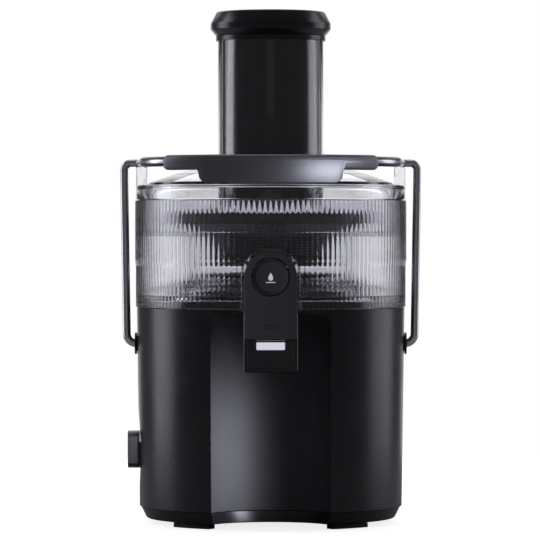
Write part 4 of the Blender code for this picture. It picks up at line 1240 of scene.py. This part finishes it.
def toward_backdrop(tree):
    """One for rays that run straight back to the white backdrop, falling to zero about 30 degrees aside."""
    heading = add(tree, "ShaderNodeTexCoord")
    parts = add(tree, "ShaderNodeSeparateXYZ", links={0: heading.outputs["Object"]})
    return add(
        tree, "ShaderNodeMapRange", {"From Min": 0.86, "From Max": 0.97}, {"Value": parts.outputs["Y"]},
        interpolation_type="SMOOTHSTEP",
    ).outputs["Result"]


# Name, bearing in degrees, distance, width, height and lift in metres, glow, and the pieces that it reaches
# where it doesn't reach all of them.
SOFTBOXES = (
    ("left_strip", -104.0, 1.5, 0.7, 2.0, 0.45, 2.2),
    ("right_strip", 109.0, 1.5, 0.85, 2.0, 0.45, 1.35),
    ("front_card", 0.0, 1.0, 0.3, 0.25, 0.13, 0.16),
    ("plate_strip", 42.0, 0.5, 0.3, 0.12, 0.281, 12.0, ("grip_bar", "grip_plate")),
    ("detail_card", 0.0, 1.0, 0.6, 0.6, 0.2, 1.1, ("gate_tab", "knob_wing")),
    ("cover_card", -14.0, 1.0, 0.5, 0.5, 0.2, 0.45, ("spout_front", "cover_lens", "drip_button_face")),
    ("back_card", 180.0, 2.0, 3.0, 1.2, 1.75, 1.5),
    ("overhead", 180.0, 0.4, 1.4, 1.4, 2.2, 0.9),
)


def make_lights():
    for settings in SOFTBOXES:
        softbox(*settings)
    bay_strip()


def make_world():
    """White to the eye and through clear plastic, and a dim studio with a white backdrop to everything that
    it lights."""
    world = bpy.data.worlds.new("studio")
    world.use_nodes = True
    bpy.context.scene.world = world
    tree = world.node_tree
    tree.nodes.clear()
    dim = add(tree, "ShaderNodeBackground", {"Color": (0.93, 0.95, 1.0, 1.0), "Strength": 0.10})
    white = add(tree, "ShaderNodeBackground", {"Color": (1.0, 1.0, 1.0, 1.0), "Strength": 1.0})
    share = maths(tree, "MAXIMUM", seen_clearly(tree), toward_backdrop(tree))
    blend = add(
        tree, "ShaderNodeMixShader",
        links={0: share, 1: dim.outputs["Background"], 2: white.outputs["Background"]},
    )
    add(tree, "ShaderNodeOutputWorld", links={"Surface": blend.outputs["Shader"]})


def make_floor():
    """A pale round floor that shows only the softest shadow."""
    rows = turn([(0.02, -0.05), (900.0, -0.05), (900.0, -2.0), (0.02, -2.0)], 96)
    mesh = bpy.data.meshes.new("floor")
    mesh.from_pydata((rows.reshape(-1, 3) * MM + AXIS).tolist(), [], grid_faces(4, 96, False, True))
    floor = bpy.data.objects.new("floor", mesh)
    bpy.context.scene.collection.objects.link(floor)
    material = bpy.data.materials.new("pale_floor")
    material.use_nodes = True
    tree = material.node_tree
    tree.nodes.clear()
    pale = add(tree, "ShaderNodeEmission", {"Color": (1.0, 1.0, 1.0, 1.0), "Strength": 0.82})
    lit = add(tree, "ShaderNodeBsdfDiffuse", {"Color": (0.8, 0.8, 0.8, 1.0)})
    dull = add(tree, "ShaderNodeBsdfDiffuse", {"Color": (0.45, 0.45, 0.45, 1.0)})
    both = add(tree, "ShaderNodeAddShader", links={0: pale.outputs["Emission"], 1: lit.outputs["BSDF"]})
    blend = add(
        tree, "ShaderNodeMixShader",
        links={0: seen_clearly(tree), 1: dull.outputs["BSDF"], 2: both.outputs["Shader"]},
    )
    add(tree, "ShaderNodeOutputMaterial", links={"Surface": blend.outputs["Shader"]})
    mesh.materials.append(material)


# Settings, operators and panel


class JuicerSizes(bpy.types.PropertyGroup):
    flutes: bpy.props.IntProperty(name="Flutes", description="Upright ribs round the bowl", default=160, min=60)
    flute_depth: bpy.props.FloatProperty(
        name="Flute depth", description="How far the valleys lie below the ribs", default=0.00036, unit="LENGTH"
    )


class JuicerColours(bpy.types.PropertyGroup):
    body: bpy.props.FloatVectorProperty(
        name="Body", description="Black of the moulded body", subtype="COLOR", default=linear("#1c1c21"), max=1.0
    )
    smoke: bpy.props.FloatVectorProperty(
        name="Smoke", description="Tint of the clear mouldings", subtype="COLOR", default=linear("#f1f1f4"), max=1.0
    )
    panel: bpy.props.FloatVectorProperty(
        name="Plate", description="Light flake of the grip's plate", subtype="COLOR", default=linear("#77777c"),
        max=1.0,
    )
    panel_dark: bpy.props.FloatVectorProperty(
        name="Plate ground", description="Dark ground of the grip's plate", subtype="COLOR",
        default=linear("#66666b"), max=1.0
    )


class JUICER_OT_finishes(bpy.types.Operator):
    """Makes every finish and paints the frame's own nodes"""

    bl_idname = "juicer.finishes"
    bl_label = "Finishes"

    def execute(self, context):
        make_finishes(context.scene.juicer_colours)
        paint_frame_nodes()
        return {"FINISHED"}


class JUICER_OT_base(bpy.types.Operator):
    """Builds the motor base with its jug bay and bottom"""

    bl_idname = "juicer.base"
    bl_label = "Base"

    def execute(self, context):
        make_base()
        return {"FINISHED"}


class JUICER_OT_bowl(bpy.types.Operator):
    """Builds the fluted juice bowl"""

    bl_idname = "juicer.bowl"
    bl_label = "Bowl"

    def execute(self, context):
        make_bowl(context.scene.juicer_sizes)
        return {"FINISHED"}


class JUICER_OT_lid(bpy.types.Operator):
    """Builds the lid and the feed tube"""

    bl_idname = "juicer.lid"
    bl_label = "Lid"

    def execute(self, context):
        make_lid()
        make_feed_tube()
        return {"FINISHED"}


class JUICER_OT_pusher(bpy.types.Operator):
    """Builds the pusher and its cap"""

    bl_idname = "juicer.pusher"
    bl_label = "Pusher"

    def execute(self, context):
        make_pusher()
        return {"FINISHED"}


class JUICER_OT_basket(bpy.types.Operator):
    """Builds the sieve basket and the grater"""

    bl_idname = "juicer.basket"
    bl_label = "Basket"

    def execute(self, context):
        make_basket()
        return {"FINISHED"}


class JUICER_OT_spout(bpy.types.Operator):
    """Builds the spout, its cover, button, gate and nozzle"""

    bl_idname = "juicer.spout"
    bl_label = "Spout"

    def execute(self, context):
        make_spout()
        return {"FINISHED"}


class JUICER_OT_arm(bpy.types.Operator):
    """Builds the lock arm's rods, grip and plate"""

    bl_idname = "juicer.arm"
    bl_label = "Lock arm"

    def execute(self, context):
        make_rods()
        make_grip()
        make_grip_plate()
        return {"FINISHED"}


class JUICER_OT_knob(bpy.types.Operator):
    """Builds the speed knob"""

    bl_idname = "juicer.knob"
    bl_label = "Speed knob"

    def execute(self, context):
        make_knob()
        return {"FINISHED"}


class JUICER_OT_bin(bpy.types.Operator):
    """Builds the pulp bin"""

    bl_idname = "juicer.bin"
    bl_label = "Pulp bin"

    def execute(self, context):
        make_bin()
        return {"FINISHED"}


class JUICER_OT_stage(bpy.types.Operator):
    """Sets the camera, the soft lights, the world and the floor"""

    bl_idname = "juicer.stage"
    bl_label = "Stage"

    def execute(self, context):
        make_camera()
        make_world()
        make_floor()
        make_lights()
        context.scene.view_settings.view_transform = "Standard"
        return {"FINISHED"}


STEPS = ("finishes", "base", "bowl", "lid", "pusher", "basket", "spout", "arm", "knob", "bin", "stage")


class JUICER_PT_panel(bpy.types.Panel):
    """Lists the steps in the order in which they run"""

    bl_idname = "JUICER_PT_panel"
    bl_label = "Juicer"
    bl_space_type = "VIEW_3D"
    bl_region_type = "UI"
    bl_category = "Juicer"

    def draw(self, context):
        for group in (context.scene.juicer_sizes, context.scene.juicer_colours):
            for key in group.bl_rna.properties.keys():
                if key not in ("rna_type", "name"):
                    self.layout.prop(group, key)
        for step in STEPS:
            self.layout.operator(f"juicer.{step}")


CLASSES = (
    JuicerSizes, JuicerColours, JUICER_OT_finishes, JUICER_OT_base, JUICER_OT_bowl, JUICER_OT_lid, JUICER_OT_pusher,
    JUICER_OT_basket, JUICER_OT_spout, JUICER_OT_arm, JUICER_OT_knob, JUICER_OT_bin, JUICER_OT_stage,
    JUICER_PT_panel,
)


def register():
    for cls in CLASSES:
        bpy.utils.register_class(cls)
    bpy.types.Scene.juicer_sizes = bpy.props.PointerProperty(type=JuicerSizes)
    bpy.types.Scene.juicer_colours = bpy.props.PointerProperty(type=JuicerColours)


def unregister():
    del bpy.types.Scene.juicer_sizes
    del bpy.types.Scene.juicer_colours
    for cls in reversed(CLASSES):
        bpy.utils.unregister_class(cls)


def main():
    register()
    for step in STEPS:
        getattr(bpy.ops.juicer, step)()
    bpy.context.view_layer.update()


if __name__ == "__main__":
    main()
